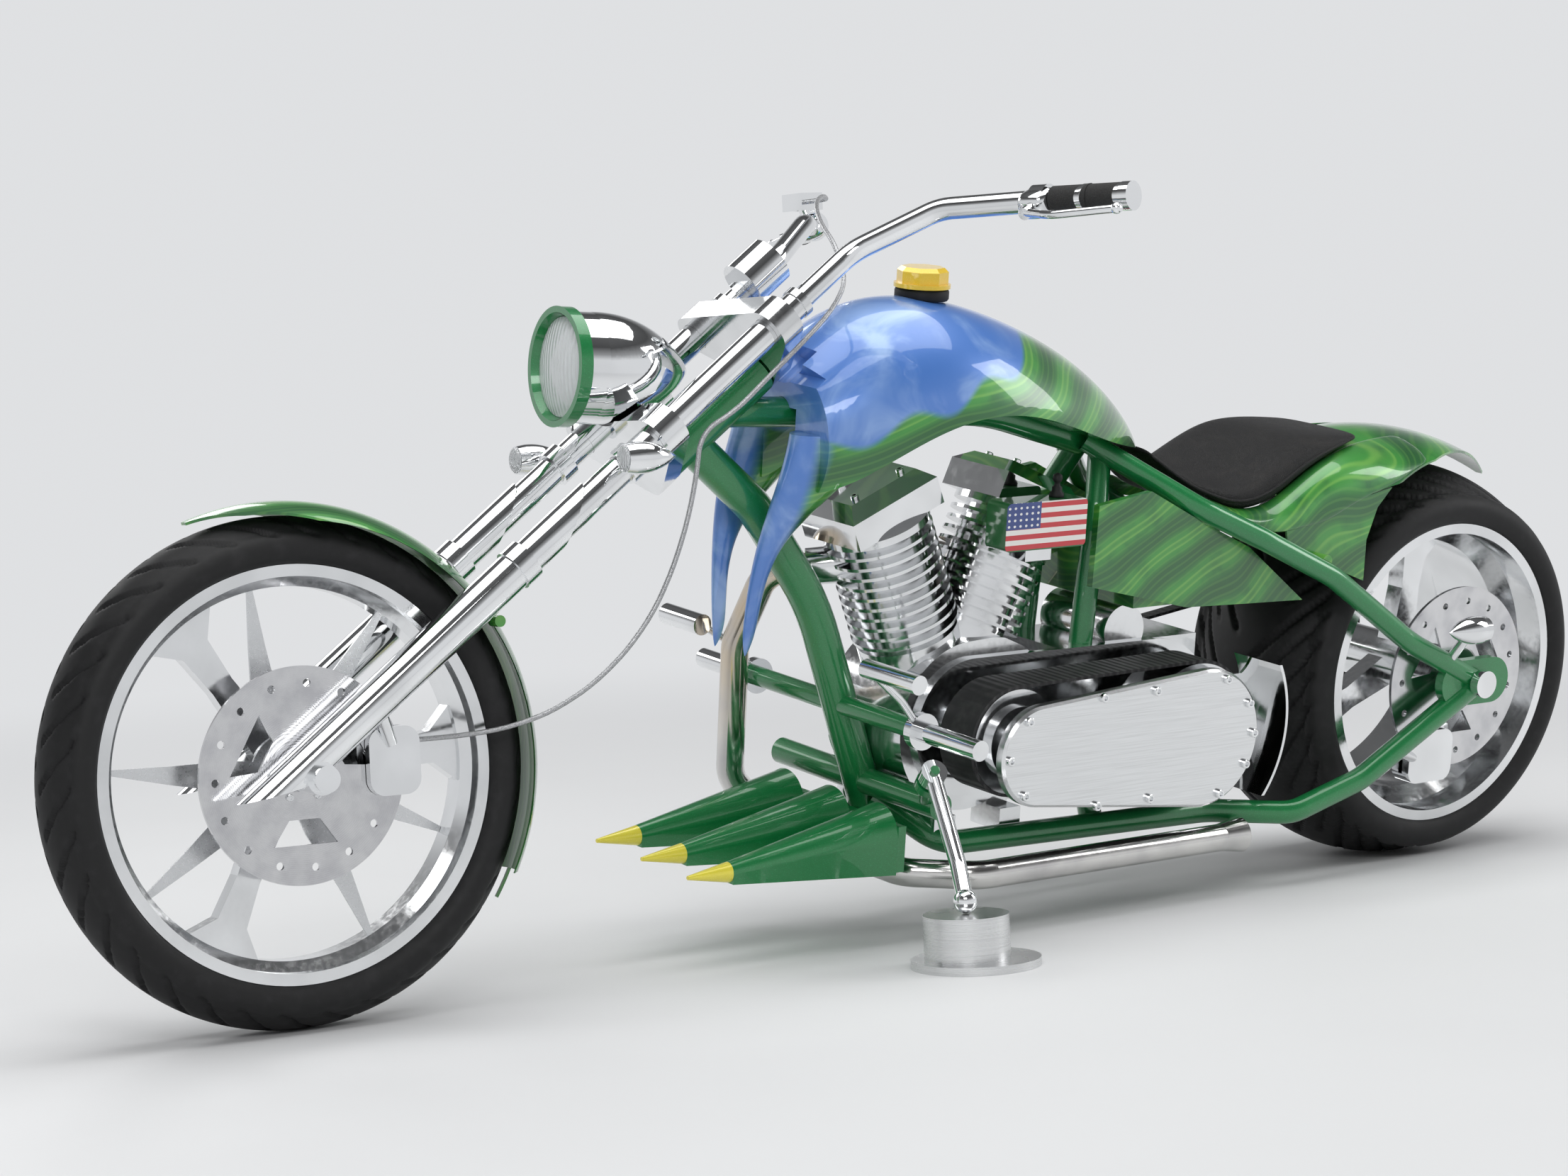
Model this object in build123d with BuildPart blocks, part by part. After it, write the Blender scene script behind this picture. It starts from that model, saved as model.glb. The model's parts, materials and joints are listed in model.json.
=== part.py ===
"""Long chopper motorcycle, parked leaning on its side stand with the foot on a round puck.

Every piece is drawn on an upright, straight-ahead machine: X forward, Y to the left, Z up,
with the floor under the rear axle as the origin.  The last section steers, leans and levels
the pieces the way the machine stands when parked.
"""
import os
from math import atan2, cos, degrees, radians, sin, sqrt, tan

from build123d import *

# Attitude when parked, degrees
LEAN = 9.1
STEER = -12.8

# Chassis geometry
WHEELBASE = 2060.0
RAKE = 53.0
LEG_LEAD = 20.0
TREE_OFFSET = 65.0
LEG_Y = 105.0

# Clearances: seated round faces, turning fits, end play of turning hubs
FIT = 0.3
RUN = 0.05
END_PLAY = 1.5

# Tyres and rims
REAR_TYRE_R = 322.0
REAR_TYRE_HALF = 152.0
REAR_CROWN_R = 230.0
REAR_CROWN_HALF = 118.0
REAR_FLANGE_R = 243.0
REAR_RIM_HALF = 142.0
REAR_WELL_R = 205.0
FRONT_TYRE_R = 344.0
FRONT_TYRE_HALF = 62.0
FRONT_CROWN_R = 66.0
FRONT_CROWN_HALF = 48.0
FRONT_FLANGE_R = 280.0
FRONT_RIM_HALF = 48.0
FRONT_WELL_R = 250.0
FLANGE_T = 5.0
TYRE_WALL = 11.0
BEAD = 10.0
RIM_SKIN = 6.0

# Wheel centres
FRONT_HUB_R = 34.0
FRONT_AXLE_R = 11.0
FRONT_DISC_Y = 58.0
DISC_T = 5.0
DISC_R = 146.0
FRONT_SPOKE_HALF = 13.0
SPOKE_COUNT = 3
FRONT_SPOKE_ANGLE = 55.0
REAR_HUB_R = 42.0
REAR_AXLE_R = 13.0
REAR_DISC_Y = 166.0
REAR_SPOKE_Y = 30.0
REAR_SPOKE_HALF = 16.0
PULLEY_R = 108.0
PULLEY_Y = -182.0
PULLEY_W = 24.0
BELT_T = 5.0

# Fork
SLIDER_R = 27.0
TUBE_R = 21.0
SLIDER_TOP = 400.0
SPEAR = 105.0
LOWER_TREE_S = 690.0
UPPER_TREE_S = 925.0
TREE_T = 38.0
LEG_TOP = 965.0
STEM_R = 16.0
NECK_R = 33.0
NECK_PLAY = 2.0
BAR_R = 16.0
GRIP_R = 19.5

# Frame
MAIN_TUBE_R = 27.0
RAIL_R = 18.0
STAY_R = 17.0
STAY_Y = 205.0
CROSS_X = 1078.0
CROSS_Z = 232.0
CROSS_HALF = 190.0
AXLE_PLATE_T = 16.0
CONTROL_X = 1130.0
CONTROL_Z = 352.0
CONTROL_R = 15.0

# Engine and primary drive
CRANK_X = 950.0
CRANK_Z = 318.0
V_HALF = 22.8
CASE_R = 128.0
CASE_HALF = 88.0
DECK = 142.0
HEAD_TOP = 330.0
ROCKER_TOP = 392.0
BARREL_R = 62.0
FIN_R = 82.0
FIN_T = 5.0
FIN_COUNT = 11
CLUTCH_X = 592.0
CLUTCH_Z = 296.0
INNER_PLATE_T = 9.0
FRONT_PULLEY_R = 78.0
CLUTCH_R = 106.0
PRIMARY_BELT_Y = 122.0
PRIMARY_BELT_W = 76.0
COVER_Y = 222.0
COVER_T = 16.0

# Fenders, tank and seat
FENDER_T = 4.0
FRONT_FENDER_R = 364.0
FRONT_FENDER_HALF = 72.0
FRONT_FENDER_DROP = 26.0
REAR_FENDER_HALF = 166.0
REAR_ARC_R = 519.0
REAR_ARC_X = 97.0
REAR_ARC_Z = 190.0

# Side stand and puck
PIVOT = Vector(1124, 222, 292)
FOOT = Vector(1177, 372, 150)
STAND_R = 12.0
FOOT_R = 17.0
PIVOT_AXIS = Vector(0.30, 0.66, 0.69).normalized()
PUCK_R = 61.0
PUCK_BASE_R = 92.0
PUCK_BASE_T = 12.0

REAR_AXLE = Vector(0, 0, REAR_TYRE_R)
FRONT_AXLE = Vector(WHEELBASE, 0, FRONT_TYRE_R)
UP = Vector(-sin(radians(RAKE)), 0, cos(radians(RAKE)))
AHEAD = Vector(cos(radians(RAKE)), 0, sin(radians(RAKE)))
LEG_FOOT = FRONT_AXLE + AHEAD * LEG_LEAD
STEM_FOOT = LEG_FOOT - AHEAD * TREE_OFFSET


def leg(along, across, ahead=0.0):
    """Point on the fork: distance up the leg, sideways, and ahead of the legs."""
    return LEG_FOOT + UP * along + AHEAD * ahead + Vector(0, across, 0)


def stem(along):
    """Point on the steering axis."""
    return STEM_FOOT + UP * along


def across(axle):
    """Section plane through an axle: u along the axle, v outward."""
    return Plane(origin=axle, x_dir=(0, 1, 0), z_dir=(1, 0, 0))


def side(centre, y):
    """Side view plane at a given y: u forward, v up, facing right."""
    return Plane(origin=(centre.X, y, centre.Z), x_dir=(1, 0, 0), z_dir=(0, -1, 0))


FLOOR = Vector(0, 0, 0)


def rod(start, end, radius, mode=Mode.ADD):
    """Round bar between two points."""
    run = Vector(end) - Vector(start)
    with BuildSketch(Plane(origin=start, z_dir=run)) as ring:
        Circle(radius)
    extrude(ring.sketch, amount=run.length, mode=mode)


def cone(start, end, radius, end_radius, mode=Mode.ADD):
    """Round taper between two points."""
    run = Vector(end) - Vector(start)
    with BuildSketch(Plane(origin=start, z_dir=run)) as foot:
        Circle(radius)
    with BuildSketch(Plane(origin=end, z_dir=run)) as top:
        Circle(end_radius)
    loft([foot.sketch, top.sketch], mode=mode)


def tube(points, bends, radius, mode=Mode.ADD):
    """Round tube along straight runs joined by tangent bends."""
    with BuildLine() as route:
        if len(points) == 2:
            Line(*points)
        else:
            FilletPolyline(*points, radius=bends)
    with BuildSketch(Plane(origin=route.line @ 0, z_dir=route.line % 0)) as ring:
        Circle(radius)
    sweep(ring.sketch, path=route.line, mode=mode)


def bend_radii(points):
    """Bend radius at each inner point of a hose, as large as its shorter run allows."""
    radii = []
    for before, here, after in zip(points, points[1:], points[2:]):
        run_in = here - before
        run_out = after - here
        half_turn = radians(run_in.get_angle(run_out)) / 2
        radii.append(0.45 * min(run_in.length, run_out.length) / tan(half_turn))
    return radii


def slab(outline, y_from, y_to, mode=Mode.ADD):
    """Flat plate in the side view between two y planes."""
    with BuildSketch(side(FLOOR, y_from)) as face:
        Polygon(*outline, align=None)
    extrude(face.sketch, amount=-(y_to - y_from), mode=mode)


def racetrack(ends, y_from, y_to, mode=Mode.ADD):
    """Plate whose outline wraps two or more circles (x, z, radius)."""
    with BuildSketch(side(FLOOR, y_from)) as face:
        for x, z, radius in ends:
            with Locations((x, z)):
                Circle(radius)
        make_hull()
    extrude(face.sketch, amount=-(y_to - y_from), mode=mode)


def block(low, high, mode=Mode.ADD):
    """Box between two opposite corners."""
    low = Vector(low)
    size = Vector(high) - low
    with Locations(low):
        Box(size.X, size.Y, size.Z, align=(Align.MIN, Align.MIN, Align.MIN), mode=mode)


def tyre_ring(axle, radius, half, crown, crown_half, flange_r, rim_half):
    """Hollow tyre: round crown, full sidewalls and a bead foot inside each rim flange."""
    shoulder = radius - crown + sqrt(crown**2 - crown_half**2)
    waist = flange_r + 0.5 * (shoulder - flange_r)
    lip = flange_r + 0.5
    inside = rim_half - FLANGE_T - FIT
    seat = flange_r - BEAD + FIT
    with BuildSketch(across(axle)) as section:
        with BuildLine():
            ThreePointArc((-crown_half, shoulder), (0, radius), (crown_half, shoulder))
            for s in (1, -1):
                ThreePointArc((s * crown_half, shoulder), (s * half, waist), (s * rim_half, lip))
                Polyline(
                    (s * rim_half, lip),
                    (s * inside, lip),
                    (s * inside, seat),
                    (s * (inside - TYRE_WALL), seat),
                )
                ThreePointArc(
                    (s * (inside - TYRE_WALL), seat),
                    (s * (half - 1.9 * TYRE_WALL), waist),
                    (s * (crown_half - TYRE_WALL), shoulder - TYRE_WALL),
                )
            ThreePointArc(
                (-crown_half + TYRE_WALL, shoulder - TYRE_WALL),
                (0, radius - TYRE_WALL),
                (crown_half - TYRE_WALL, shoulder - TYRE_WALL),
            )
        make_face()
    revolve(section.sketch, axis=Axis(axle, (0, 1, 0)))


def rim_ring(axle, flange_r, rim_half, well_r):
    """Rim with two flanges, bead seats and a drop centre."""
    seat = flange_r - BEAD
    inner = rim_half - FLANGE_T
    slope = inner - 0.32 * rim_half
    foot = slope - 0.2 * rim_half
    with BuildSketch(across(axle)) as section:
        Polygon(
            (-rim_half, flange_r),
            (-inner, flange_r),
            (-inner, seat),
            (-slope, seat),
            (-foot, well_r + RIM_SKIN),
            (foot, well_r + RIM_SKIN),
            (slope, seat),
            (inner, seat),
            (inner, flange_r),
            (rim_half, flange_r),
            (rim_half, seat - RIM_SKIN),
            (slope, seat - RIM_SKIN),
            (foot, well_r),
            (-foot, well_r),
            (-slope, seat - RIM_SKIN),
            (-rim_half, seat - RIM_SKIN),
            align=None,
        )
    revolve(section.sketch, axis=Axis(axle, (0, 1, 0)))


def arms(axle, y_from, y_to, outline, count, start_angle, mode=Mode.ADD):
    """Ring of flat radial arms; the outline is (outward, sideways)."""
    with BuildSketch(side(axle, y_from)) as ring:
        with PolarLocations(0, count, start_angle=start_angle):
            Polygon(*outline, align=None)
    extrude(ring.sketch, amount=-(y_to - y_from), mode=mode)


def brake_disc(axle, y_from, bore):
    """Drilled brake disc with three windows and groups of small holes."""
    with BuildSketch(side(axle, y_from)) as ring:
        Circle(DISC_R)
        Circle(bore, mode=Mode.SUBTRACT)
        with PolarLocations(0, 3, start_angle=30):
            Polygon((58, -22), (92, -46), (92, 46), (58, 22), align=None, mode=Mode.SUBTRACT)
        with PolarLocations(0.5 * (DISC_R + 100), 15):
            Circle(5.5, mode=Mode.SUBTRACT)
    extrude(ring.sketch, amount=-DISC_T)


# Rear wheel
with BuildPart() as rear_tyre:
    tyre_ring(
        REAR_AXLE, REAR_TYRE_R, REAR_TYRE_HALF, REAR_CROWN_R, REAR_CROWN_HALF, REAR_FLANGE_R, REAR_RIM_HALF
    )

with BuildPart() as rear_wheel:
    rim_ring(REAR_AXLE, REAR_FLANGE_R, REAR_RIM_HALF, REAR_WELL_R)
    arms(
        REAR_AXLE,
        REAR_SPOKE_Y - REAR_SPOKE_HALF,
        REAR_SPOKE_Y + REAR_SPOKE_HALF,
        [
            (30, -26), (120, -19), (170, -24), (REAR_WELL_R + 3, -58), (REAR_WELL_R + 3, 58), (170, 24),
            (120, 19), (30, 26)
        ],
        SPOKE_COUNT,
        95,
    )
    rod(REAR_AXLE + Vector(0, PULLEY_Y + PULLEY_W, 0), REAR_AXLE + Vector(0, REAR_DISC_Y, 0), REAR_HUB_R)
    rod(
        REAR_AXLE + Vector(0, -STAY_Y, 0),
        REAR_AXLE + Vector(0, STAY_Y, 0),
        REAR_AXLE_R + RUN,
        mode=Mode.SUBTRACT,
    )

with BuildPart() as rear_disc:
    brake_disc(REAR_AXLE, REAR_DISC_Y, REAR_AXLE_R + 3)

with BuildPart() as rear_pulley:
    rod(REAR_AXLE + Vector(0, PULLEY_Y, 0), REAR_AXLE + Vector(0, PULLEY_Y + PULLEY_W, 0), PULLEY_R)
    with BuildSketch(side(REAR_AXLE, PULLEY_Y)) as lightening:
        with PolarLocations(72, 6):
            Circle(19)
    extrude(lightening.sketch, amount=-PULLEY_W, mode=Mode.SUBTRACT)
    rod(
        REAR_AXLE + Vector(0, PULLEY_Y, 0),
        REAR_AXLE + Vector(0, PULLEY_Y + PULLEY_W, 0),
        REAR_AXLE_R + 3,
        mode=Mode.SUBTRACT,
    )

# Front wheel
with BuildPart() as front_tyre:
    tyre_ring(
        FRONT_AXLE,
        FRONT_TYRE_R,
        FRONT_TYRE_HALF,
        FRONT_CROWN_R,
        FRONT_CROWN_HALF,
        FRONT_FLANGE_R,
        FRONT_RIM_HALF,
    )

with BuildPart() as front_wheel:
    rim_ring(FRONT_AXLE, FRONT_FLANGE_R, FRONT_RIM_HALF, FRONT_WELL_R)
    arms(
        FRONT_AXLE,
        -FRONT_SPOKE_HALF,
        FRONT_SPOKE_HALF,
        [
            (20, -24),
            (150, -17),
            (212, -22),
            (FRONT_WELL_R + 3, -60),
            (FRONT_WELL_R + 3, 60),
            (212, 22),
            (150, 17),
            (20, 24),
        ],
        SPOKE_COUNT,
        FRONT_SPOKE_ANGLE,
    )
    rod(FRONT_AXLE + Vector(0, -FRONT_DISC_Y, 0), FRONT_AXLE + Vector(0, FRONT_DISC_Y, 0), FRONT_HUB_R)
    rod(
        FRONT_AXLE + Vector(0, -LEG_Y, 0),
        FRONT_AXLE + Vector(0, LEG_Y, 0),
        FRONT_AXLE_R + RUN,
        mode=Mode.SUBTRACT,
    )

BLADE = [
    (40, -15), (84, -25), (170, -15), (FRONT_WELL_R - 0.6, -4), (FRONT_WELL_R - 0.6, 4), (170, 9),
    (84, 17), (40, 15)
]
BLADE_T = 4.0
with BuildPart() as front_blades:
    for y_from, start in ((FRONT_SPOKE_HALF, 5.0), (-FRONT_SPOKE_HALF - BLADE_T, 83.0)):
        arms(FRONT_AXLE, y_from, y_from + BLADE_T, BLADE, 3, start)
        rod(
            FRONT_AXLE + Vector(0, y_from, 0), FRONT_AXLE + Vector(0, y_from + BLADE_T, 0),
            FRONT_HUB_R + 20
        )
        rod(
            FRONT_AXLE + Vector(0, y_from, 0),
            FRONT_AXLE + Vector(0, y_from + BLADE_T, 0),
            FRONT_HUB_R + FIT,
            mode=Mode.SUBTRACT,
        )

with BuildPart() as front_disc:
    brake_disc(FRONT_AXLE, FRONT_DISC_Y, FRONT_AXLE_R + 3)


# Fork legs, axle and triple trees
def fork_leg(y):
    """Slider with a slashed spear tip, collar, pointed sleeve and upper tube."""
    rod(leg(-SPEAR, y), leg(SLIDER_TOP, y), SLIDER_R)
    rod(leg(SLIDER_TOP - 6, y), leg(SLIDER_TOP + 20, y), SLIDER_R + 3)
    rod(leg(SLIDER_TOP, y), leg(SLIDER_TOP + 150, y), TUBE_R + 4)
    with BuildSketch(Plane(origin=leg(0, y), x_dir=AHEAD, z_dir=(0, -1, 0))) as slash:
        Polygon((SLIDER_R + 1, -SPEAR - 2), (-SLIDER_R - 1, 5), (-SLIDER_R - 1, -SPEAR - 2), align=None)
        Polygon(
            (-TUBE_R - 6, SLIDER_TOP + 60),
            (TUBE_R + 6, SLIDER_TOP + 152),
            (-TUBE_R - 6, SLIDER_TOP + 152),
            align=None,
        )
    extrude(slash.sketch, amount=SLIDER_R + 5, both=True, mode=Mode.SUBTRACT)
    rod(leg(SLIDER_TOP, y), leg(LEG_TOP, y), TUBE_R)
    hub = FRONT_AXLE + Vector(0, y, 0)
    rod(hub - Vector(0, SLIDER_R, 0), hub + Vector(0, SLIDER_R, 0), 2.0 * FRONT_AXLE_R)
    rod(hub - Vector(0, 60, 0), hub + Vector(0, 60, 0), FRONT_AXLE_R + FIT, mode=Mode.SUBTRACT)


with BuildPart() as fork_leg_left:
    fork_leg(LEG_Y)

with BuildPart() as fork_leg_right:
    fork_leg(-LEG_Y)

with BuildPart() as front_axle:
    rod(
        FRONT_AXLE - Vector(0, LEG_Y + SLIDER_R + 10, 0),
        FRONT_AXLE + Vector(0, LEG_Y + SLIDER_R + 10, 0), FRONT_AXLE_R
    )
    for s in (1, -1):
        inner = FRONT_DISC_Y + END_PLAY + (DISC_T if s > 0 else 0)
        rod(
            FRONT_AXLE + Vector(0, s * inner, 0),
            FRONT_AXLE + Vector(0, s * (LEG_Y - SLIDER_R), 0),
            FRONT_AXLE_R + 7,
        )
        rod(
            FRONT_AXLE + Vector(0, s * (LEG_Y + SLIDER_R), 0),
            FRONT_AXLE + Vector(0, s * (LEG_Y + SLIDER_R + 16), 0),
            FRONT_AXLE_R + 7,
        )

# Headlight axis: from the middle of the glass back into the bowl
LIGHT_FACE = FRONT_AXLE + Vector(-450, 0, 525)
LIGHT_AIM = Vector(0.997, 0, 0.07).normalized()
BOWL_R = 78.0
BOWL_LENGTH = 185.0


def tree(at, boss):
    """Triple tree: two leg clamps and the stem boss in one thick plate."""
    with BuildSketch(Plane(origin=leg(at - TREE_T / 2, 0), x_dir=AHEAD, z_dir=UP)) as plate:
        for y in (LEG_Y, -LEG_Y):
            with Locations((0, y)):
                Circle(TUBE_R + 13)
        with Locations((-TREE_OFFSET, 0)):
            Circle(boss)
        make_hull()
    extrude(plate.sketch, amount=TREE_T)
    for y in (LEG_Y, -LEG_Y):
        rod(leg(at - TREE_T, y), leg(at + TREE_T, y), TUBE_R + FIT, mode=Mode.SUBTRACT)


def bowl_shell(grow, mode=Mode.ADD):
    """Bullet-shaped headlight bowl, grown by a clearance when it cuts the tree."""
    back = BOWL_LENGTH + grow
    radius = BOWL_R + grow
    with BuildSketch(Plane(origin=LIGHT_FACE, x_dir=LIGHT_AIM, z_dir=(0, -1, 0))) as shell:
        with BuildLine():
            Polyline((-back, 7), (-back, 0), (0, 0), (0, radius), (-30, radius))
            ThreePointArc((-30, radius), (-0.68 * BOWL_LENGTH - grow, 0.74 * radius), (-back, 7))
        make_face()
    revolve(shell.sketch, axis=Axis(LIGHT_FACE, LIGHT_AIM), mode=mode)


with BuildPart() as lower_tree:
    tree(LOWER_TREE_S, STEM_R + 18)
    bowl_shell(3, Mode.SUBTRACT)
    rod(stem(LOWER_TREE_S), stem(UPPER_TREE_S + TREE_T / 2), STEM_R)

with BuildPart() as upper_tree:
    tree(UPPER_TREE_S, STEM_R + 16)
    rod(stem(LOWER_TREE_S), stem(UPPER_TREE_S + TREE_T), STEM_R + FIT, mode=Mode.SUBTRACT)

with BuildPart() as headlight_bowl:
    bowl_shell(0)
    rod(leg(LOWER_TREE_S + TREE_T / 2, 0), leg(LOWER_TREE_S + TREE_T / 2 + 64, 0), 13)

with BuildPart() as headlight_bezel:
    rod(LIGHT_FACE, LIGHT_FACE + LIGHT_AIM * 18, BOWL_R + 6)
    cone(
        LIGHT_FACE + LIGHT_AIM * 2, LIGHT_FACE + LIGHT_AIM * 20, BOWL_R - 10, BOWL_R - 2,
        mode=Mode.SUBTRACT
    )

with BuildPart() as headlight_lens:
    with BuildSketch(Plane(origin=LIGHT_FACE, x_dir=LIGHT_AIM, z_dir=(0, -1, 0))) as dome:
        with BuildLine():
            Polyline((18, 3), (18, 0), (2.5, 0), (2.5, BOWL_R - 11), (7, BOWL_R - 8.5))
            ThreePointArc((7, BOWL_R - 8.5), (15, 0.55 * BOWL_R), (18, 3))
        make_face()
    revolve(dome.sketch, axis=Axis(LIGHT_FACE, LIGHT_AIM))

# Handlebars rise out of the fork legs; (x, z) are measured from the front axle
BAR_BENDS = [(70.0), (75.0), (140.0)]


def bar_route(s):
    """Handlebar centre line on one side."""
    start = leg(LEG_TOP + 1, s * LEG_Y)
    return [
        start,
        FRONT_AXLE + Vector(-852, s * 108, 668),
        FRONT_AXLE + Vector(-950, s * 190, 722),
        FRONT_AXLE + Vector(-1043, s * 330, 724),
        FRONT_AXLE + Vector(-1094, s * 450, 722),
    ]


def grip_span(s):
    """Start and end of the hand grip on one side."""
    route = bar_route(s)
    return route[3] + (route[4] - route[3]) * 0.06, route[4]


with BuildPart() as handlebar:
    for s in (1, -1):
        tube(bar_route(s), BAR_BENDS, BAR_R)
        rod(leg(LEG_TOP, s * LEG_Y), leg(LEG_TOP + 12, s * LEG_Y), TUBE_R + 2)

with BuildPart() as grips:
    for s in (1, -1):
        start, end = grip_span(s)
        run = end - start
        for low, high in ((0.0, 0.42), (0.50, 0.93)):
            rod(start + run * low, start + run * high, GRIP_R)
        rod(start + run * 0.42, start + run * 0.50, GRIP_R + 1)
        rod(start + run * 0.93, end + run.normalized() * 6, GRIP_R + 1)
        tube(bar_route(s), BAR_BENDS, BAR_R + FIT, Mode.SUBTRACT)

# Hand controls: perch, lever and, on the right, the brake reservoir
LEVER_R = 6.0
with BuildPart() as hand_controls:
    for s in (1, -1):
        start, end = grip_span(s)
        run = (end - start).normalized()
        lead = Vector(0.86, s * 0.36, -0.36).normalized()
        perch = start - run * 32
        rod(perch, perch + run * 24, BAR_R + 7)
        rod(perch + run * 12, perch + run * 12 + lead * 52, 9)
        tube(
            [
                perch + run * 12 + lead * 46,
                perch + run * 60 + lead * 62,
                perch + run * 168 + lead * 48,
            ],
            [60.0],
            LEVER_R,
        )
        if s < 0:
            top = perch + run * 12 + Vector(0, 0, 24)
            block(top + Vector(-2, -30, 0), top + Vector(34, 30, 26))
            rod(perch + run * 12, top + Vector(14, 0, 4), 9)
        tube(bar_route(s), BAR_BENDS, BAR_R + FIT, Mode.SUBTRACT)

with BuildPart() as speedometer:
    rod(leg(UPPER_TREE_S + TREE_T / 2, 0, -20), leg(UPPER_TREE_S + TREE_T / 2 + 40, 0, 20), 9)
    rod(leg(UPPER_TREE_S + 40, 0, 40), leg(UPPER_TREE_S + 100, 0, 40), 36)
    with BuildSketch(Plane(origin=leg(UPPER_TREE_S + TREE_T / 2, 0), x_dir=AHEAD, z_dir=UP)) as under:
        Rectangle(200, 200)
    extrude(under.sketch, amount=-60, mode=Mode.SUBTRACT)


# Turn signals: bullet bodies on short stems
def bullet(centre, aim, radius, length):
    """Bullet-shaped lamp body pointing along aim."""
    with BuildSketch(Plane(origin=centre, x_dir=aim, z_dir=aim.cross(Vector(0, 0, 1)))) as shell:
        with BuildLine():
            Polyline(
                (-0.62 * length, 0), (0.38 * length, 0), (0.38 * length, 0.9 * radius),
                (0.2 * length, radius)
            )
            ThreePointArc((0.2 * length, radius), (-0.3 * length, 0.72 * radius), (-0.62 * length, 0))
        make_face()
    revolve(shell.sketch, axis=Axis(centre, aim))


SIGNAL_S = 620.0
with BuildPart() as fork_signals:
    for s in (1, -1):
        centre = leg(SIGNAL_S, s * (LEG_Y + 62), 10)
        bullet(centre, Vector(1, 0, 0), 22, 80)
        rod(leg(SIGNAL_S, s * LEG_Y), centre, 8)
        rod(leg(SIGNAL_S - 12, s * LEG_Y), leg(SIGNAL_S + 12, s * LEG_Y), TUBE_R + 6)
        rod(leg(SIGNAL_S - 30, s * LEG_Y), leg(SIGNAL_S + 30, s * LEG_Y), TUBE_R + FIT, mode=Mode.SUBTRACT)


# Front fender: a thin crowned strip round the tyre, pointed at both ends
FRONT_FENDER_FROM = 70.0
FRONT_FENDER_SWEEP = 143.0
LUG_ANGLE = 140.0


def crowned_strip(centre, radius, half, drop, from_angle, sweep_angle):
    """Thin arched strip turned about a transverse axis."""
    a = radians(from_angle)
    plane = Plane(origin=centre, x_dir=(0, 1, 0), z_dir=(sin(a), 0, -cos(a)))
    with BuildSketch(plane) as section:
        with BuildLine():
            ThreePointArc((-half, radius - drop), (0, radius), (half, radius - drop))
            Line((half, radius - drop), (half - FENDER_T, radius - drop))
            ThreePointArc(
                (half - FENDER_T, radius - drop),
                (0, radius - FENDER_T),
                (-half + FENDER_T, radius - drop),
            )
            Line((-half + FENDER_T, radius - drop), (-half, radius - drop))
        make_face()
    revolve(section.sketch, axis=Axis(centre, (0, -1, 0)), revolution_arc=sweep_angle)


with BuildPart() as front_fender:
    crowned_strip(
        FRONT_AXLE, FRONT_FENDER_R, FRONT_FENDER_HALF, FRONT_FENDER_DROP, FRONT_FENDER_FROM,
        FRONT_FENDER_SWEEP
    )
    tip_x = FRONT_AXLE.X + FRONT_FENDER_R * cos(radians(FRONT_FENDER_FROM))
    with BuildSketch(Plane(origin=(tip_x, 0, FRONT_AXLE.Z + 200))) as nose:
        for s in (1, -1):
            Polygon((10, s * 2), (10, s * 90), (-190, s * 90), (-190, s * 74), (-70, s * 44), align=None)
    extrude(nose.sketch, amount=200, mode=Mode.SUBTRACT)
    tail = radians(FRONT_FENDER_FROM + FRONT_FENDER_SWEEP)
    tip_z = FRONT_AXLE.Z + FRONT_FENDER_R * sin(tail)
    with BuildSketch(
        Plane(origin=(FRONT_AXLE.X - 230, 0, tip_z), x_dir=(0, 1, 0), z_dir=(-1, 0, 0))
    ) as point:
        for s in (1, -1):
            Polygon(
                (s * 2, -40), (s * 2, 0), (s * 36, 90), (s * 74, 250), (s * 90, 250), (s * 90, -40),
                align=None
            )
    extrude(point.sketch, amount=200, mode=Mode.SUBTRACT)
    for s in (1, -1):
        for turn in (LUG_ANGLE, LUG_ANGLE + 7.0):
            a = radians(turn)
            reach = FRONT_FENDER_R - FRONT_FENDER_DROP + 4
            foot = FRONT_AXLE + Vector(reach * cos(a), s * (FRONT_FENDER_HALF - 4), reach * sin(a))
            away = Vector(0, s, 0)
            rod(foot, foot + away * (LEG_Y - FRONT_FENDER_HALF), 8)
        rod(leg(0, s * LEG_Y), leg(SLIDER_TOP, s * LEG_Y), SLIDER_R + FIT, mode=Mode.SUBTRACT)
        block(
            FRONT_AXLE + Vector(-400, s * LEG_Y - 14, 0),
            FRONT_AXLE + Vector(0, s * LEG_Y + 14, 420),
            mode=Mode.SUBTRACT,
        )

# Front caliper, behind the left leg, straddling the disc
CALIPER_GAP = 1.5
with BuildPart() as front_caliper:
    mid = FRONT_AXLE + Vector(-128, FRONT_DISC_Y + DISC_T / 2, 10)
    with BuildSketch(side(mid, mid.Y - 24)) as body:
        RectangleRounded(74, 92, 22)
    extrude(body.sketch, amount=-(LEG_Y - SLIDER_R - mid.Y + 24))
    block(
        mid + Vector(-60, -DISC_T / 2 - CALIPER_GAP, -60),
        mid + Vector(60, DISC_T / 2 + CALIPER_GAP, 60),
        mode=Mode.SUBTRACT,
    )
    block(mid + Vector(-37, -24, -26), mid + Vector(-21.5, 12, 26))
    rod(mid + Vector(4, 15.5, 24), leg(132, LEG_Y), 9)
    rod(leg(-SPEAR, LEG_Y), leg(SLIDER_TOP, LEG_Y), SLIDER_R + FIT, mode=Mode.SUBTRACT)

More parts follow.
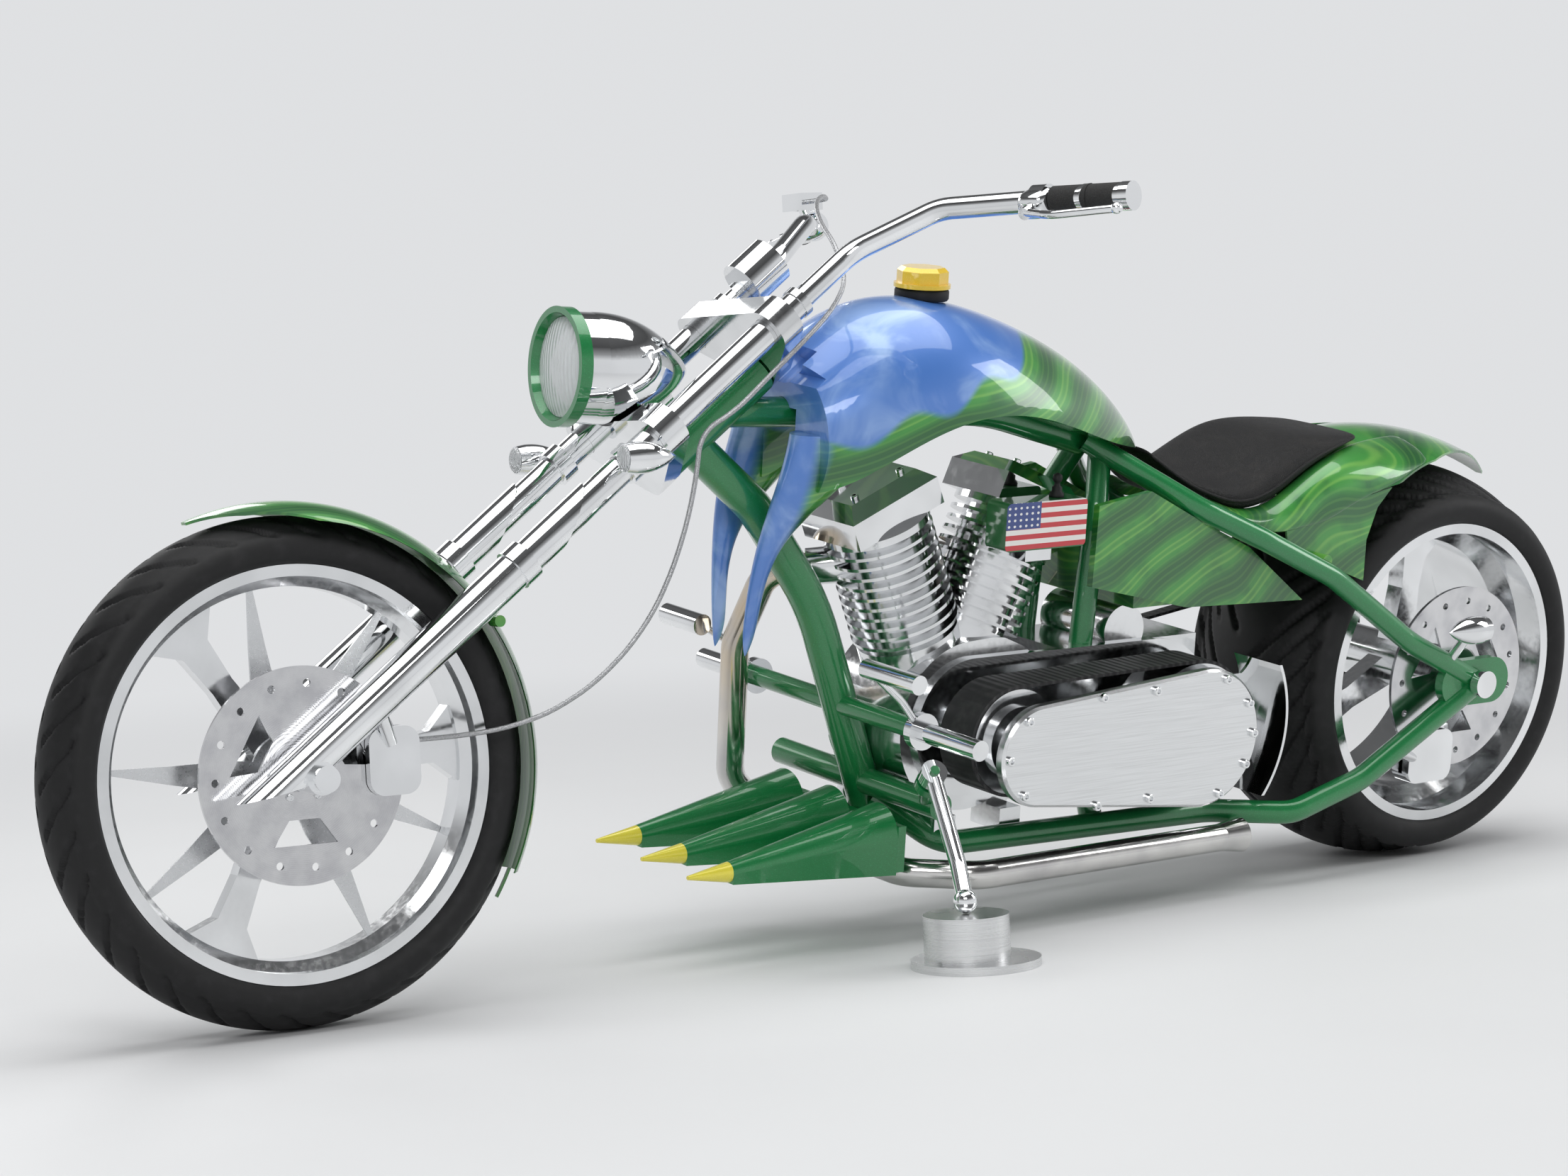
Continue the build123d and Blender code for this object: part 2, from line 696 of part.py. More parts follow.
# Front brake line: from the reservoir over to the left leg, then in a free loop to the caliper
LINE_R = 3.5
start, end = grip_span(-1)
inboard = (start - end).normalized()
reservoir = start + inboard * 20 + Vector(16, 30 + FIT, 37)
LINE_TOP = [
    reservoir,
    reservoir + Vector(0, 44, 0),
    FRONT_AXLE + Vector(-985, -190, 764),
    FRONT_AXLE + Vector(-945, -140, 756),
    FRONT_AXLE + Vector(-908, -82, 740),
    FRONT_AXLE + Vector(-880, -22, 715),
    FRONT_AXLE + Vector(-866, 40, 682),
]
# Distance up the leg, sideways of it, ahead of it
LINE_LEG = [
    (1062, -23, -34),
    (1008, 1, -42),
    (945, 18, -41),
    (870, 22, -42),
    (790, 23, -45),
]
# Free loop behind the leg, measured from the front axle
LINE_LOOP = [
    (-596, 112, 426),
    (-587, 110, 367),
    (-570, 108, 303),
    (-545, 106, 240),
    (-513, 104, 183),
    (-469, 102, 132),
    (-413, 100, 88),
    (-348, 96, 56),
    (-286, 84, 40),
]
line_points = LINE_TOP + [leg(along, LEG_Y + beside, ahead) for along, beside, ahead in LINE_LEG]
line_points += [FRONT_AXLE + Vector(point) for point in LINE_LOOP]
line_points += [mid + Vector(-100, 11.5, 25), mid + Vector(-37 - FIT, 11.5, 25)]
line_bends = bend_radii(line_points)
print("front brake line bend radii", [round(r) for r in line_bends])
with BuildPart() as front_brake_line:
    tube(line_points, line_bends, LINE_R)

# Frame: neck, backbone, downtube, cradle, uprights, seat rails and stays
DOWNTUBE = [(1430, 0, 762), (1300, 0, 655), (1185, 0, 505), (1065, 0, 200)]
BACKBONE = [(1385, 0, 797), (1240, 0, 790), (880, 0, 772), (690, 0, 718)]
LOWER_RAIL = [
    (1066, 24, 206), (1012, 118, 152), (500, 140, 150), (380, STAY_Y, 148), (235, STAY_Y, 186),
    (0, STAY_Y, 312)
]
SEAT_RAIL = [
    (700, 26, 722), (556, 140, 626), (448, 172, 576), (316, 190, 513), (150, STAY_Y, 398),
    (0, STAY_Y, 326)
]
UPRIGHT = [(668, 26, 708), (704, 66, 610), (724, 66, 330), (706, 104, 150)]


def mirrored(points, s):
    """Points of a left-hand tube, or of its right-hand twin."""
    return [(x, s * y, z) for x, y, z in points]


def frame_tubes(extra, mode=Mode.ADD):
    """All frame tubes, grown by a clearance when they cut a seat in another piece."""
    tube(DOWNTUBE, [160.0, 400.0], MAIN_TUBE_R + extra, mode)
    tube(BACKBONE, [300.0, 400.0], MAIN_TUBE_R - 5 + extra, mode)
    rod(
        (CROSS_X, -CROSS_HALF - extra, CROSS_Z), (CROSS_X, CROSS_HALF + extra, CROSS_Z),
        MAIN_TUBE_R - 7 + extra, mode
    )
    rod(
        (CONTROL_X, -CROSS_HALF - extra, CONTROL_Z), (CONTROL_X, CROSS_HALF + extra, CONTROL_Z),
        CONTROL_R + extra, mode
    )
    for s in (1, -1):
        tube(mirrored(LOWER_RAIL, s), [60.0, 90.0, 70.0, 120.0], RAIL_R + extra, mode)
        tube(mirrored(SEAT_RAIL, s), [120.0, 120.0, 150.0, 250.0], STAY_R + extra, mode)
        tube(mirrored(UPRIGHT, s), [80.0, 100.0], RAIL_R + extra, mode)


with BuildPart() as frame:
    frame_tubes(0)
    rod(stem(LOWER_TREE_S + TREE_T / 2 + NECK_PLAY), stem(UPPER_TREE_S - TREE_T / 2 - NECK_PLAY), NECK_R)
    rod(stem(LOWER_TREE_S), stem(UPPER_TREE_S), STEM_R + RUN, mode=Mode.SUBTRACT)
    for s in (1, -1):
        with BuildSketch(side(REAR_AXLE, s * STAY_Y - AXLE_PLATE_T / 2)) as plate:
            SlotOverall(150, 74)
        extrude(plate.sketch, amount=-AXLE_PLATE_T)
    rod(
        REAR_AXLE - Vector(0, STAY_Y + 60, 0),
        REAR_AXLE + Vector(0, STAY_Y + 60, 0),
        REAR_AXLE_R + FIT,
        mode=Mode.SUBTRACT,
    )
    rod((CROSS_X, CROSS_HALF - 30, CROSS_Z), PIVOT - PIVOT_AXIS * 24, 14)
    rod(PIVOT - PIVOT_AXIS * 32, PIVOT - PIVOT_AXIS * 17, 20)
    rod(PIVOT - PIVOT_AXIS * 20, PIVOT + PIVOT_AXIS * 16, 7)

with BuildPart() as rear_axle:
    reach = STAY_Y + AXLE_PLATE_T / 2
    rod(REAR_AXLE - Vector(0, reach + 14, 0), REAR_AXLE + Vector(0, reach + 14, 0), REAR_AXLE_R)
    for s in (1, -1):
        inner = REAR_DISC_Y + DISC_T if s > 0 else -PULLEY_Y
        rod(
            REAR_AXLE + Vector(0, s * (inner + END_PLAY), 0),
            REAR_AXLE + Vector(0, s * (STAY_Y - AXLE_PLATE_T / 2), 0),
            REAR_AXLE_R + 8,
        )
        rod(
            REAR_AXLE + Vector(0, s * (STAY_Y + STAY_R + 1), 0),
            REAR_AXLE + Vector(0, s * (STAY_Y + STAY_R + 16), 0), 22
        )
    frame_tubes(FIT, Mode.SUBTRACT)

# Side stand: pivot eye, bent leg and ball foot
with BuildPart() as side_stand:
    with BuildSketch(Plane(origin=PIVOT - PIVOT_AXIS * 11, z_dir=PIVOT_AXIS)) as eye:
        Circle(19)
    extrude(eye.sketch, amount=22)
    knee = PIVOT + (FOOT - PIVOT) * 0.62 + Vector(0, 14, -16)
    tube([PIVOT + (knee - PIVOT).normalized() * 10, knee, FOOT], [70.0], STAND_R)
    with Locations(FOOT):
        Sphere(FOOT_R)
    rod(PIVOT - PIVOT_AXIS * 40, PIVOT + PIVOT_AXIS * 40, 7 + RUN, mode=Mode.SUBTRACT)


# Engine: crankcase with two decks, finned cylinders and faceted rocker boxes
def cylinder_dir(s):
    """Direction of the front (+1) or rear (-1) cylinder."""
    return Vector(s * sin(radians(V_HALF)), 0, cos(radians(V_HALF)))


CRANK = Vector(CRANK_X, 0, CRANK_Z)
with BuildPart() as crankcase:
    racetrack(
        [(CRANK_X, CRANK_Z, CASE_R), (CRANK_X - 40, CRANK_Z + 20, CASE_R - 18)], -CASE_HALF, CASE_HALF
    )
    for s in (1, -1):
        rod(CRANK, CRANK + cylinder_dir(s) * DECK, FIN_R - 4)
    for s in (1, -1):
        away = cylinder_dir(s)
        with BuildSketch(Plane(origin=CRANK + away * DECK, z_dir=away)) as above:
            Circle(FIN_R + 30)
        extrude(above.sketch, amount=120, mode=Mode.SUBTRACT)
    for s in (1, -1):
        for x in (CRANK_X - 90, CRANK_X + 36):
            block((x, min(s * 50, s * 84), 158), (x + 40, max(s * 50, s * 84), 260))
            block((x, min(s * 50, s * 116), 158), (x + 40, max(s * 50, s * 116), 192))
    frame_tubes(FIT, Mode.SUBTRACT)


def jug(s):
    """Finned barrel and head on one deck, with an exhaust port."""
    away = cylinder_dir(s)
    foot = CRANK + away * DECK
    rod(foot, CRANK + away * HEAD_TOP, BARREL_R)
    pitch = (HEAD_TOP - DECK - FIN_T - 16) / (FIN_COUNT - 1)
    for i in range(FIN_COUNT):
        start = CRANK + away * (DECK + 10 + i * pitch)
        rod(start, start + away * FIN_T, FIN_R)
    rod(CRANK + away * (HEAD_TOP - 8), CRANK + away * HEAD_TOP, FIN_R)


# Rear cylinder clears the front one where the bores cross over the crank
with BuildPart() as front_cylinder:
    jug(1)
    rod((1075, 0, 560), (1150, -62, 545), 28)

with BuildPart() as rear_cylinder:
    jug(-1)
    rod((846, 0, 530), (846, -94, 530), 28)
    block((815, 40, 560), (865, 96, 604))
    rod(
        CRANK + cylinder_dir(1) * DECK, CRANK + cylinder_dir(1) * (HEAD_TOP + 1), FIN_R + FIT,
        mode=Mode.SUBTRACT
    )


def rocker_box(s):
    """Faceted rocker cover with chamfered top edges."""
    away = cylinder_dir(s)
    base = Plane(origin=CRANK + away * HEAD_TOP, x_dir=Vector(away.Z, 0, -away.X), z_dir=away)
    with BuildSketch(base) as foot:
        Rectangle(164, 132)
    extrude(foot.sketch, amount=ROCKER_TOP - HEAD_TOP)


with BuildPart() as front_rocker:
    rocker_box(1)
    chamfer(front_rocker.faces().sort_by(Axis((0, 0, 0), cylinder_dir(1)))[-1].edges(), 20)

with BuildPart() as rear_rocker:
    rocker_box(-1)
    chamfer(rear_rocker.faces().sort_by(Axis((0, 0, 0), cylinder_dir(-1)))[-1].edges(), 20)

# Air cleaner on the right, on a stub between the cylinders
with BuildPart() as air_cleaner:
    rod((CRANK_X + 12, -30, 572), (CRANK_X + 12, -120, 572), 24)
    rod((CRANK_X + 12, -100, 572), (CRANK_X + 12, -152, 572), 70)
    for s in (1, -1):
        rod(
            CRANK + cylinder_dir(s) * DECK, CRANK + cylinder_dir(s) * ROCKER_TOP, FIN_R + FIT,
            mode=Mode.SUBTRACT
        )

# Open belt primary on the left
with BuildPart() as primary_plate:
    racetrack(
        [(CRANK_X, CRANK_Z, FRONT_PULLEY_R + 26), (CLUTCH_X, CLUTCH_Z, CLUTCH_R + 18)],
        CASE_HALF,
        CASE_HALF + INNER_PLATE_T,
    )
    inner = CASE_HALF + INNER_PLATE_T
    for x, z, r in ((CRANK_X, CRANK_Z, FRONT_PULLEY_R), (CLUTCH_X, CLUTCH_Z, CLUTCH_R)):
        rod((x, inner, z), (x, PRIMARY_BELT_Y, z), 0.5 * r)
        rod((x, PRIMARY_BELT_Y, z), (x, PRIMARY_BELT_Y + PRIMARY_BELT_W, z), r)
        rod((x, PRIMARY_BELT_Y + PRIMARY_BELT_W, z), (x, PRIMARY_BELT_Y + PRIMARY_BELT_W + 10, z), 0.7 * r)
    frame_tubes(FIT, Mode.SUBTRACT)

with BuildPart() as primary_belt:
    for grow, mode in ((BELT_T + FIT, Mode.ADD), (FIT, Mode.SUBTRACT)):
        racetrack(
            [(CRANK_X, CRANK_Z, FRONT_PULLEY_R + grow), (CLUTCH_X, CLUTCH_Z, CLUTCH_R + grow)],
            PRIMARY_BELT_Y + 2,
            PRIMARY_BELT_Y + PRIMARY_BELT_W - 2,
            mode,
        )

with BuildPart() as primary_cover:
    racetrack(
        [(930, 302, 76), (604, 296, 106)],
        COVER_Y,
        COVER_Y + COVER_T,
    )
    chamfer(primary_cover.faces().sort_by(Axis.Y)[-1].edges(), 4)
    for x, z, r in ((CRANK_X, CRANK_Z, 26), (CLUTCH_X, CLUTCH_Z, 40)):
        rod((x, PRIMARY_BELT_Y + PRIMARY_BELT_W + 10, z), (x, COVER_Y + 1, z), r)

GUARD_R = 190.0
with BuildPart() as clutch_guard:
    guard_y = CASE_HALF + INNER_PLATE_T
    rod((CLUTCH_X, guard_y, CLUTCH_Z), (CLUTCH_X, PRIMARY_BELT_Y + PRIMARY_BELT_W, CLUTCH_Z), GUARD_R + 5)
    rod(
        (CLUTCH_X, guard_y, CLUTCH_Z), (CLUTCH_X, PRIMARY_BELT_Y + PRIMARY_BELT_W, CLUTCH_Z), GUARD_R,
        mode=Mode.SUBTRACT
    )
    block((CLUTCH_X - 100, 0, 0), (CLUTCH_X + 300, 300, 600), mode=Mode.SUBTRACT)
    block((CLUTCH_X - 300, 0, 0), (CLUTCH_X, 300, 180), mode=Mode.SUBTRACT)
    block((CLUTCH_X - 300, 0, 384), (CLUTCH_X, 300, 600), mode=Mode.SUBTRACT)
    for z in (CLUTCH_Z + 46, CLUTCH_Z - 62):
        block((CLUTCH_X - GUARD_R + 12 - 2, guard_y, z - 9), (CLUTCH_X - CLUTCH_R, guard_y + 6, z + 9))
        block((CLUTCH_X - GUARD_R, guard_y, z - 9), (CLUTCH_X - GUARD_R + 20, guard_y + 6, z + 9))

# Transmission and starter behind the crankcase
with BuildPart() as transmission:
    block((500, -62, 200), (CRANK_X - CASE_R - 42, CASE_HALF, 420))
    rod((650, -60, 436), (650, CASE_HALF, 436), 40)
    rod((CLUTCH_X, PULLEY_Y, CLUTCH_Z), (CLUTCH_X, -40, CLUTCH_Z), 26)
    rod((CLUTCH_X, PULLEY_Y, CLUTCH_Z), (CLUTCH_X, PULLEY_Y + PULLEY_W, CLUTCH_Z), 54)
    frame_tubes(FIT, Mode.SUBTRACT)

with BuildPart() as drive_belt:
    for grow, mode in ((BELT_T + FIT, Mode.ADD), (FIT, Mode.SUBTRACT)):
        racetrack(
            [(0, REAR_TYRE_R, PULLEY_R + grow), (CLUTCH_X, CLUTCH_Z, 54 + grow)],
            PULLEY_Y + 1,
            PULLEY_Y + PULLEY_W - 1,
            mode,
        )

PIPE_R = 21.0
PIPE_WALL = 2.5
# Exhausts: the front pipe crosses under the engine to the left, the rear one stays on the right
with BuildPart() as exhaust_left:
    port = Vector(1150, -62, 545)
    out = Vector(75, -62, -15).normalized()
    tube(
        [
            port,
            port + out * 60,
            (1208, -150, 420),
            (1172, -194, 200),
            (1088, -190, 118),
            (1086, 120, 118),
            (1000, 194, 121),
            (492, 194, 122),
        ],
        [50.0, 90.0, 60.0, 60.0, 50.0, 60.0],
        PIPE_R,
    )
    cone((520, 194, 122.5), (478, 194, 122), PIPE_R, PIPE_R + 6)
    rod((470, 194, 122), (600, 194, 122.8), PIPE_R - PIPE_WALL, mode=Mode.SUBTRACT)

with BuildPart() as exhaust_right:
    tube(
        [
            (846, -94, 530), (846, -150, 530), (790, -194, 420), (770, -196, 200), (680, -196, 126),
            (500, -196, 122)
        ],
        [40.0, 90.0, 70.0, 80.0],
        PIPE_R,
    )
    rod((490, -196, 122), (590, -196, 123.5), PIPE_R - PIPE_WALL, mode=Mode.SUBTRACT)

# Tank: lofted teardrop with two long prongs straddling the downtube
TANK = [
    (602, 732, 706, 34),
    (690, 812, 726, 96),
    (800, 878, 758, 140),
    (930, 928, 792, 166),
    (1060, 950, 788, 172),
    (1165, 928, 742, 152),
    (1262, 868, 690, 98),
]
PRONG = [
    (770, 1228, 66, 62, 34),
    (690, 1258, 66, 54, 27),
    (620, 1304, 55, 24, 16),
    (545, 1323, 44, 13, 9),
    (447, 1331, 33, 3, 3),
]
CAP_X = 1014.0
CAP_R = 38.0
with BuildPart() as tank:
    sections = []
    for x, top, low, half in TANK:
        with BuildSketch(Plane(origin=(x, 0, 0), x_dir=(0, 1, 0), z_dir=(1, 0, 0))) as rib:
            with BuildLine():
                ThreePointArc((-half, low), (0, top), (half, low))
                Line((half, low), (-half, low))
            make_face()
        sections.append(rib.sketch)
    loft(sections)
    for s in (1, -1):
        rings = []
        for z, x, y, rx, ry in PRONG:
            with BuildSketch(Plane(origin=(x, s * y, z))) as ring:
                Ellipse(rx, ry)
            rings.append(ring.sketch)
        loft(rings)
    rod((CAP_X, 0, 860), (CAP_X, 0, 962), CAP_R - 6)
    rod(stem(LOWER_TREE_S - 60), stem(UPPER_TREE_S + 60), NECK_R + 12, mode=Mode.SUBTRACT)
    with BuildSketch(Plane(origin=stem(UPPER_TREE_S - TREE_T / 2 - 8), x_dir=AHEAD, z_dir=UP)) as swing:
        with Locations((60, 0)):
            Rectangle(204, 360)
    extrude(swing.sketch, amount=TREE_T + 18, mode=Mode.SUBTRACT)
    frame_tubes(FIT, Mode.SUBTRACT)
    with BuildSketch(Plane(origin=(1150, 0, 560), x_dir=(0, 1, 0), z_dir=(1, 0, 0))) as slot:
        Rectangle(72, 480)
    extrude(slot.sketch, amount=300, mode=Mode.SUBTRACT)

with BuildPart() as fuel_cap:
    rod((CAP_X, 0, 962), (CAP_X, 0, 968), CAP_R + 4)
    with BuildSketch(Plane(origin=(CAP_X, 0, 968))) as knob:
        RegularPolygon(CAP_R, 8)
    extrude(knob.sketch, amount=24)
    chamfer(fuel_cap.faces().sort_by(Axis.Z)[-1].edges(), 6)

# Rear fender: crowned top strip drawn to a point, with a skirt on each side
with BuildPart() as rear_fender:
    arc_centre = Vector(REAR_ARC_X, 0, REAR_ARC_Z)
    crowned_strip(arc_centre, REAR_ARC_R, REAR_FENDER_HALF, 60, 60, 65)
    with BuildSketch(Plane(origin=(-205, 0, 400))) as tip:
        for s in (1, -1):
            Polygon(
                (-40, s * 3), (0, s * 3), (120, s * 70), (250, s * 130), (380, s * 170), (380, s * 200),
                (-40, s * 200), align=None
            )
    extrude(tip.sketch, amount=400, mode=Mode.SUBTRACT)
    for s in (1, -1):
        outer = s * REAR_FENDER_HALF
        inner = s * (REAR_FENDER_HALF - FENDER_T)
        slab(
            [(176, 640), (205, 610), (224, 560), (224, 495), (392, 557), (400, 590), (330, 610)],
            min(inner, outer),
            max(inner, outer),
        )
        rod((330, inner, 538), (330, s * 190, 538), 10)
    frame_tubes(FIT, Mode.SUBTRACT)

# Seat: stepped saddle on the rails and the fender
with BuildPart() as seat:
    with BuildSketch(side(FLOOR, -138)) as profile:
        with BuildLine():
            Polyline((168, 712), (321, 722), (400, 690))
            ThreePointArc((400, 690), (470, 652), (540, 668))
            Polyline(
                (540, 668), (600, 712), (590, 690), (540, 640), (480, 606), (380, 606), (300, 640),
                (168, 690), (168, 712)
            )
        make_face()
    extrude(profile.sketch, amount=-276)
    with BuildSketch(Plane(origin=(0, 0, 500))) as plan:
        for s in (1, -1):
            Polygon(
                (160, s * 95), (300, s * 128), (430, s * 138), (520, s * 110), (610, s * 46),
                (620, s * 160), (160, s * 160), align=None
            )
    extrude(plan.sketch, amount=300, mode=Mode.SUBTRACT)
    rod((REAR_ARC_X, -200, REAR_ARC_Z), (REAR_ARC_X, 200, REAR_ARC_Z), REAR_ARC_R + FIT, mode=Mode.SUBTRACT)
    frame_tubes(FIT, Mode.SUBTRACT)

# Oil tank under the seat with pointed side wings
with BuildPart() as oil_tank:
    block((500, -128, 480), (672, 128, 570))
    for s in (1, -1):
        slab(
            [
                (764, 645), (768, 522), (574, 476), (460, 472), (328, 468), (450, 560), (560, 610),
                (660, 660)
            ],
            min(s * 128, s * 140),
            max(s * 128, s * 140),
        )
    frame_tubes(FIT, Mode.SUBTRACT)

# Electrics box on the left of the rear head
with BuildPart() as electrics_box:
    block((790, 96, 588), (945, 142, 660))
    fillet(electrics_box.edges().filter_by(Axis.Y), 8)

# Forward controls: mounting plate, foot peg and toe peg on each end of the control tube
PEG_END = 330.0
with BuildPart() as control_left:
    rod((CONTROL_X, CROSS_HALF, CONTROL_Z), (CONTROL_X, CROSS_HALF + 14, CONTROL_Z), 27)
    rod((CONTROL_X, CROSS_HALF + 14, CONTROL_Z), (CONTROL_X, PEG_END, CONTROL_Z), 15)
    tube(
        [(CONTROL_X, CROSS_HALF + 7, CONTROL_Z), (1170, CROSS_HALF + 7, 400), (1232, CROSS_HALF + 7, 452)],
        [80.0],
        6,
    )
    rod((1232, CROSS_HALF, 452), (1232, PEG_END - 20, 452), 14)

with BuildPart() as control_right:
    rod((CONTROL_X, -CROSS_HALF, CONTROL_Z), (CONTROL_X, -CROSS_HALF - 14, CONTROL_Z), 27)
    rod((CONTROL_X, -CROSS_HALF - 14, CONTROL_Z), (CONTROL_X, -PEG_END, CONTROL_Z), 15)
    tube(
        [
            (CONTROL_X, -CROSS_HALF - 7, CONTROL_Z), (1170, -CROSS_HALF - 7, 400),
            (1240, -CROSS_HALF - 7, 440)
        ],
        [80.0],
        6,
    )
    rod((1240, -CROSS_HALF, 440), (1240, -PEG_END + 50, 440), 16)

# Three snouts on a cross bracket, with separate pointed tips
SNOUT_BASE_X = 1128.0
SNOUT_NOSE_X = 1400.0
SNOUT_TIP_X = 1470.0
with BuildPart() as snouts:
    for y in (112, 0, -112):
        faces = []
        for x, half, low, top in ((SNOUT_BASE_X, 46, 128, 226), (SNOUT_NOSE_X, 15, 140, 170)):
            with BuildSketch(Plane(origin=(x, y, 0), x_dir=(0, 1, 0), z_dir=(1, 0, 0))) as shape:
                with BuildLine():
                    Polyline((-half, top - half), (-half, low), (half, low), (half, top - half))
                    ThreePointArc((-half, top - half), (0, top), (half, top - half))
                make_face()
            faces.append(shape.sketch)
        loft(faces)
    block((SNOUT_BASE_X - 14, -158, 132), (SNOUT_BASE_X, 158, 200))
    block((1060, -20, 150), (SNOUT_BASE_X, 20, 190))
    frame_tubes(FIT, Mode.SUBTRACT)

with BuildPart() as snout_tips:
    for y in (112, 0, -112):
        cone((SNOUT_NOSE_X, y, 155), (SNOUT_TIP_X, y, 155), 15, 3)

# Rear signals, rear caliper
with BuildPart() as rear_signals:
    for s in (1, -1):
        centre = Vector(60, s * 250, 418)
        bullet(centre, Vector(-1, 0, 0), 22, 80)
        rod((60, s * STAY_Y, 356), centre, 8)
    frame_tubes(FIT, Mode.SUBTRACT)

with BuildPart() as rear_caliper:
    mid = Vector(60, REAR_DISC_Y + DISC_T / 2, 200)
    with BuildSketch(side(mid, mid.Y - 18)) as body:
        RectangleRounded(96, 84, 20)
    extrude(body.sketch, amount=-36)
    block(
        mid + Vector(-70, -DISC_T / 2 - CALIPER_GAP, -27),
        mid + Vector(70, DISC_T / 2 + CALIPER_GAP, 60),
        mode=Mode.SUBTRACT,
    )
    rod((95, mid.Y + 10, 200), (160, STAY_Y, 222), 9)
    frame_tubes(FIT, Mode.SUBTRACT)
    block(
        (0, mid.Y - DISC_T / 2 - CALIPER_GAP, 174), (200, mid.Y + DISC_T / 2 + CALIPER_GAP, 300),
        mode=Mode.SUBTRACT
    )

# Parking: steer, lean, then level the machine until both tyres touch the floor
STEER_AXIS = Axis(STEM_FOOT, UP)
LEAN_AXIS = Axis((0, 0, 0), (1, 0, 0))
PITCH_AXIS = Axis((0, 0, 0), (0, 1, 0))


def turned(point, axis, angle):
    """Point turned about an axis."""
    return (point - axis.position).rotate(axis, angle) + axis.position


def tyre_low(centre, spin, radius, crown):
    """Lowest height of a round-crowned tyre."""
    return centre.Z - (radius - crown) * sqrt(1 - spin.Z**2) - crown


pitch = 0.0
for _ in range(6):
    lows = []
    for axle, radius, crown, steered in (
        (REAR_AXLE, REAR_TYRE_R, REAR_CROWN_R, False),
        (FRONT_AXLE, FRONT_TYRE_R, FRONT_CROWN_R, True),
    ):
        centre, spin = axle, Vector(0, 1, 0)
        if steered:
            centre = turned(centre, STEER_AXIS, STEER)
            spin = spin.rotate(STEER_AXIS, STEER)
        for axis, angle in ((LEAN_AXIS, -LEAN), (PITCH_AXIS, pitch)):
            centre = turned(centre, axis, angle)
            spin = spin.rotate(axis, angle)
        lows.append((tyre_low(centre, spin, radius, crown), centre.X))
    (rear_low, rear_x), (front_low, front_x) = lows
    pitch += degrees(atan2(front_low - rear_low, front_x - rear_x))
lift = -rear_low


def park_point(point, steered=False):
    """Where a point of the upright machine stands when parked."""
    point = Vector(point)
    if steered:
        point = turned(point, STEER_AXIS, STEER)
    point = turned(point, LEAN_AXIS, -LEAN)
    point = turned(point, PITCH_AXIS, pitch)
    return point + Vector(0, 0, lift)


def park_direction(direction, steered=False):
    """Direction on the upright machine, as it points when parked."""
    return park_point(direction, steered) - park_point((0, 0, 0), steered)


def park(part, steered=False):
    """Piece of the upright machine, moved to where it stands when parked."""
    if steered:
        part = part.rotate(STEER_AXIS, STEER)
    part = part.rotate(LEAN_AXIS, -LEAN)
    part = part.rotate(PITCH_AXIS, pitch)
    return part.translate((0, 0, lift))


# Puck on the floor under the stand's foot
foot_down = park_point(FOOT)
puck_top = foot_down.Z - FOOT_R - FIT
with BuildPart() as puck:
    rod(
        (foot_down.X - 12, foot_down.Y + 4, 0), (foot_down.X - 12, foot_down.Y + 4, PUCK_BASE_T),
        PUCK_BASE_R
    )
    rod((foot_down.X, foot_down.Y, 0), (foot_down.X, foot_down.Y, puck_top), PUCK_R)

STEERED = {
    "front_tyre": front_tyre,
    "front_wheel": front_wheel,
    "front_blades": front_blades,
    "front_disc": front_disc,
    "fork_leg_left": fork_leg_left,
    "fork_leg_right": fork_leg_right,
    "front_axle": front_axle,
    "lower_tree": lower_tree,
    "upper_tree": upper_tree,
    "headlight_bowl": headlight_bowl,
    "headlight_bezel": headlight_bezel,
    "headlight_lens": headlight_lens,
    "handlebar": handlebar,
    "grips": grips,
    "hand_controls": hand_controls,
    "speedometer": speedometer,
    "fork_signals": fork_signals,
    "front_fender": front_fender,
    "front_caliper": front_caliper,
    "front_brake_line": front_brake_line,
}
FIXED = {
    "rear_tyre": rear_tyre,
    "rear_wheel": rear_wheel,
    "rear_disc": rear_disc,
    "rear_pulley": rear_pulley,
    "frame": frame,
    "rear_axle": rear_axle,
    "side_stand": side_stand,
    "crankcase": crankcase,
    "front_cylinder": front_cylinder,
    "rear_cylinder": rear_cylinder,
    "front_rocker": front_rocker,
    "rear_rocker": rear_rocker,
    "air_cleaner": air_cleaner,
    "primary_plate": primary_plate,
    "primary_belt": primary_belt,
    "primary_cover": primary_cover,
    "clutch_guard": clutch_guard,
    "transmission": transmission,
    "drive_belt": drive_belt,
    "exhaust_left": exhaust_left,
    "exhaust_right": exhaust_right,
    "tank": tank,
    "fuel_cap": fuel_cap,
    "rear_fender": rear_fender,
    "seat": seat,
    "oil_tank": oil_tank,
    "electrics_box": electrics_box,
    "control_left": control_left,
    "control_right": control_right,
    "snouts": snouts,
    "snout_tips": snout_tips,
    "rear_signals": rear_signals,
    "rear_caliper": rear_caliper,
}

parked = {name: park(piece.part, True) for name, piece in STEERED.items()}
parked.update({name: park(piece.part) for name, piece in FIXED.items()})
parked["puck"] = puck.part

# The origin is on the floor under the middle of the parked machine
boxes = [part.bounding_box() for part in parked.values()]
middle_x = (min(b.min.X for b in boxes) + max(b.max.X for b in boxes)) / 2
middle_y = (min(b.min.Y for b in boxes) + max(b.max.Y for b in boxes)) / 2
to_origin = Vector(-middle_x, -middle_y, 0)

os.makedirs("parts", exist_ok=True)
for name, part in parked.items():
    placed = part.translate(to_origin)
    placed.label = name
    export_step(placed, f"parts/{name}.step")
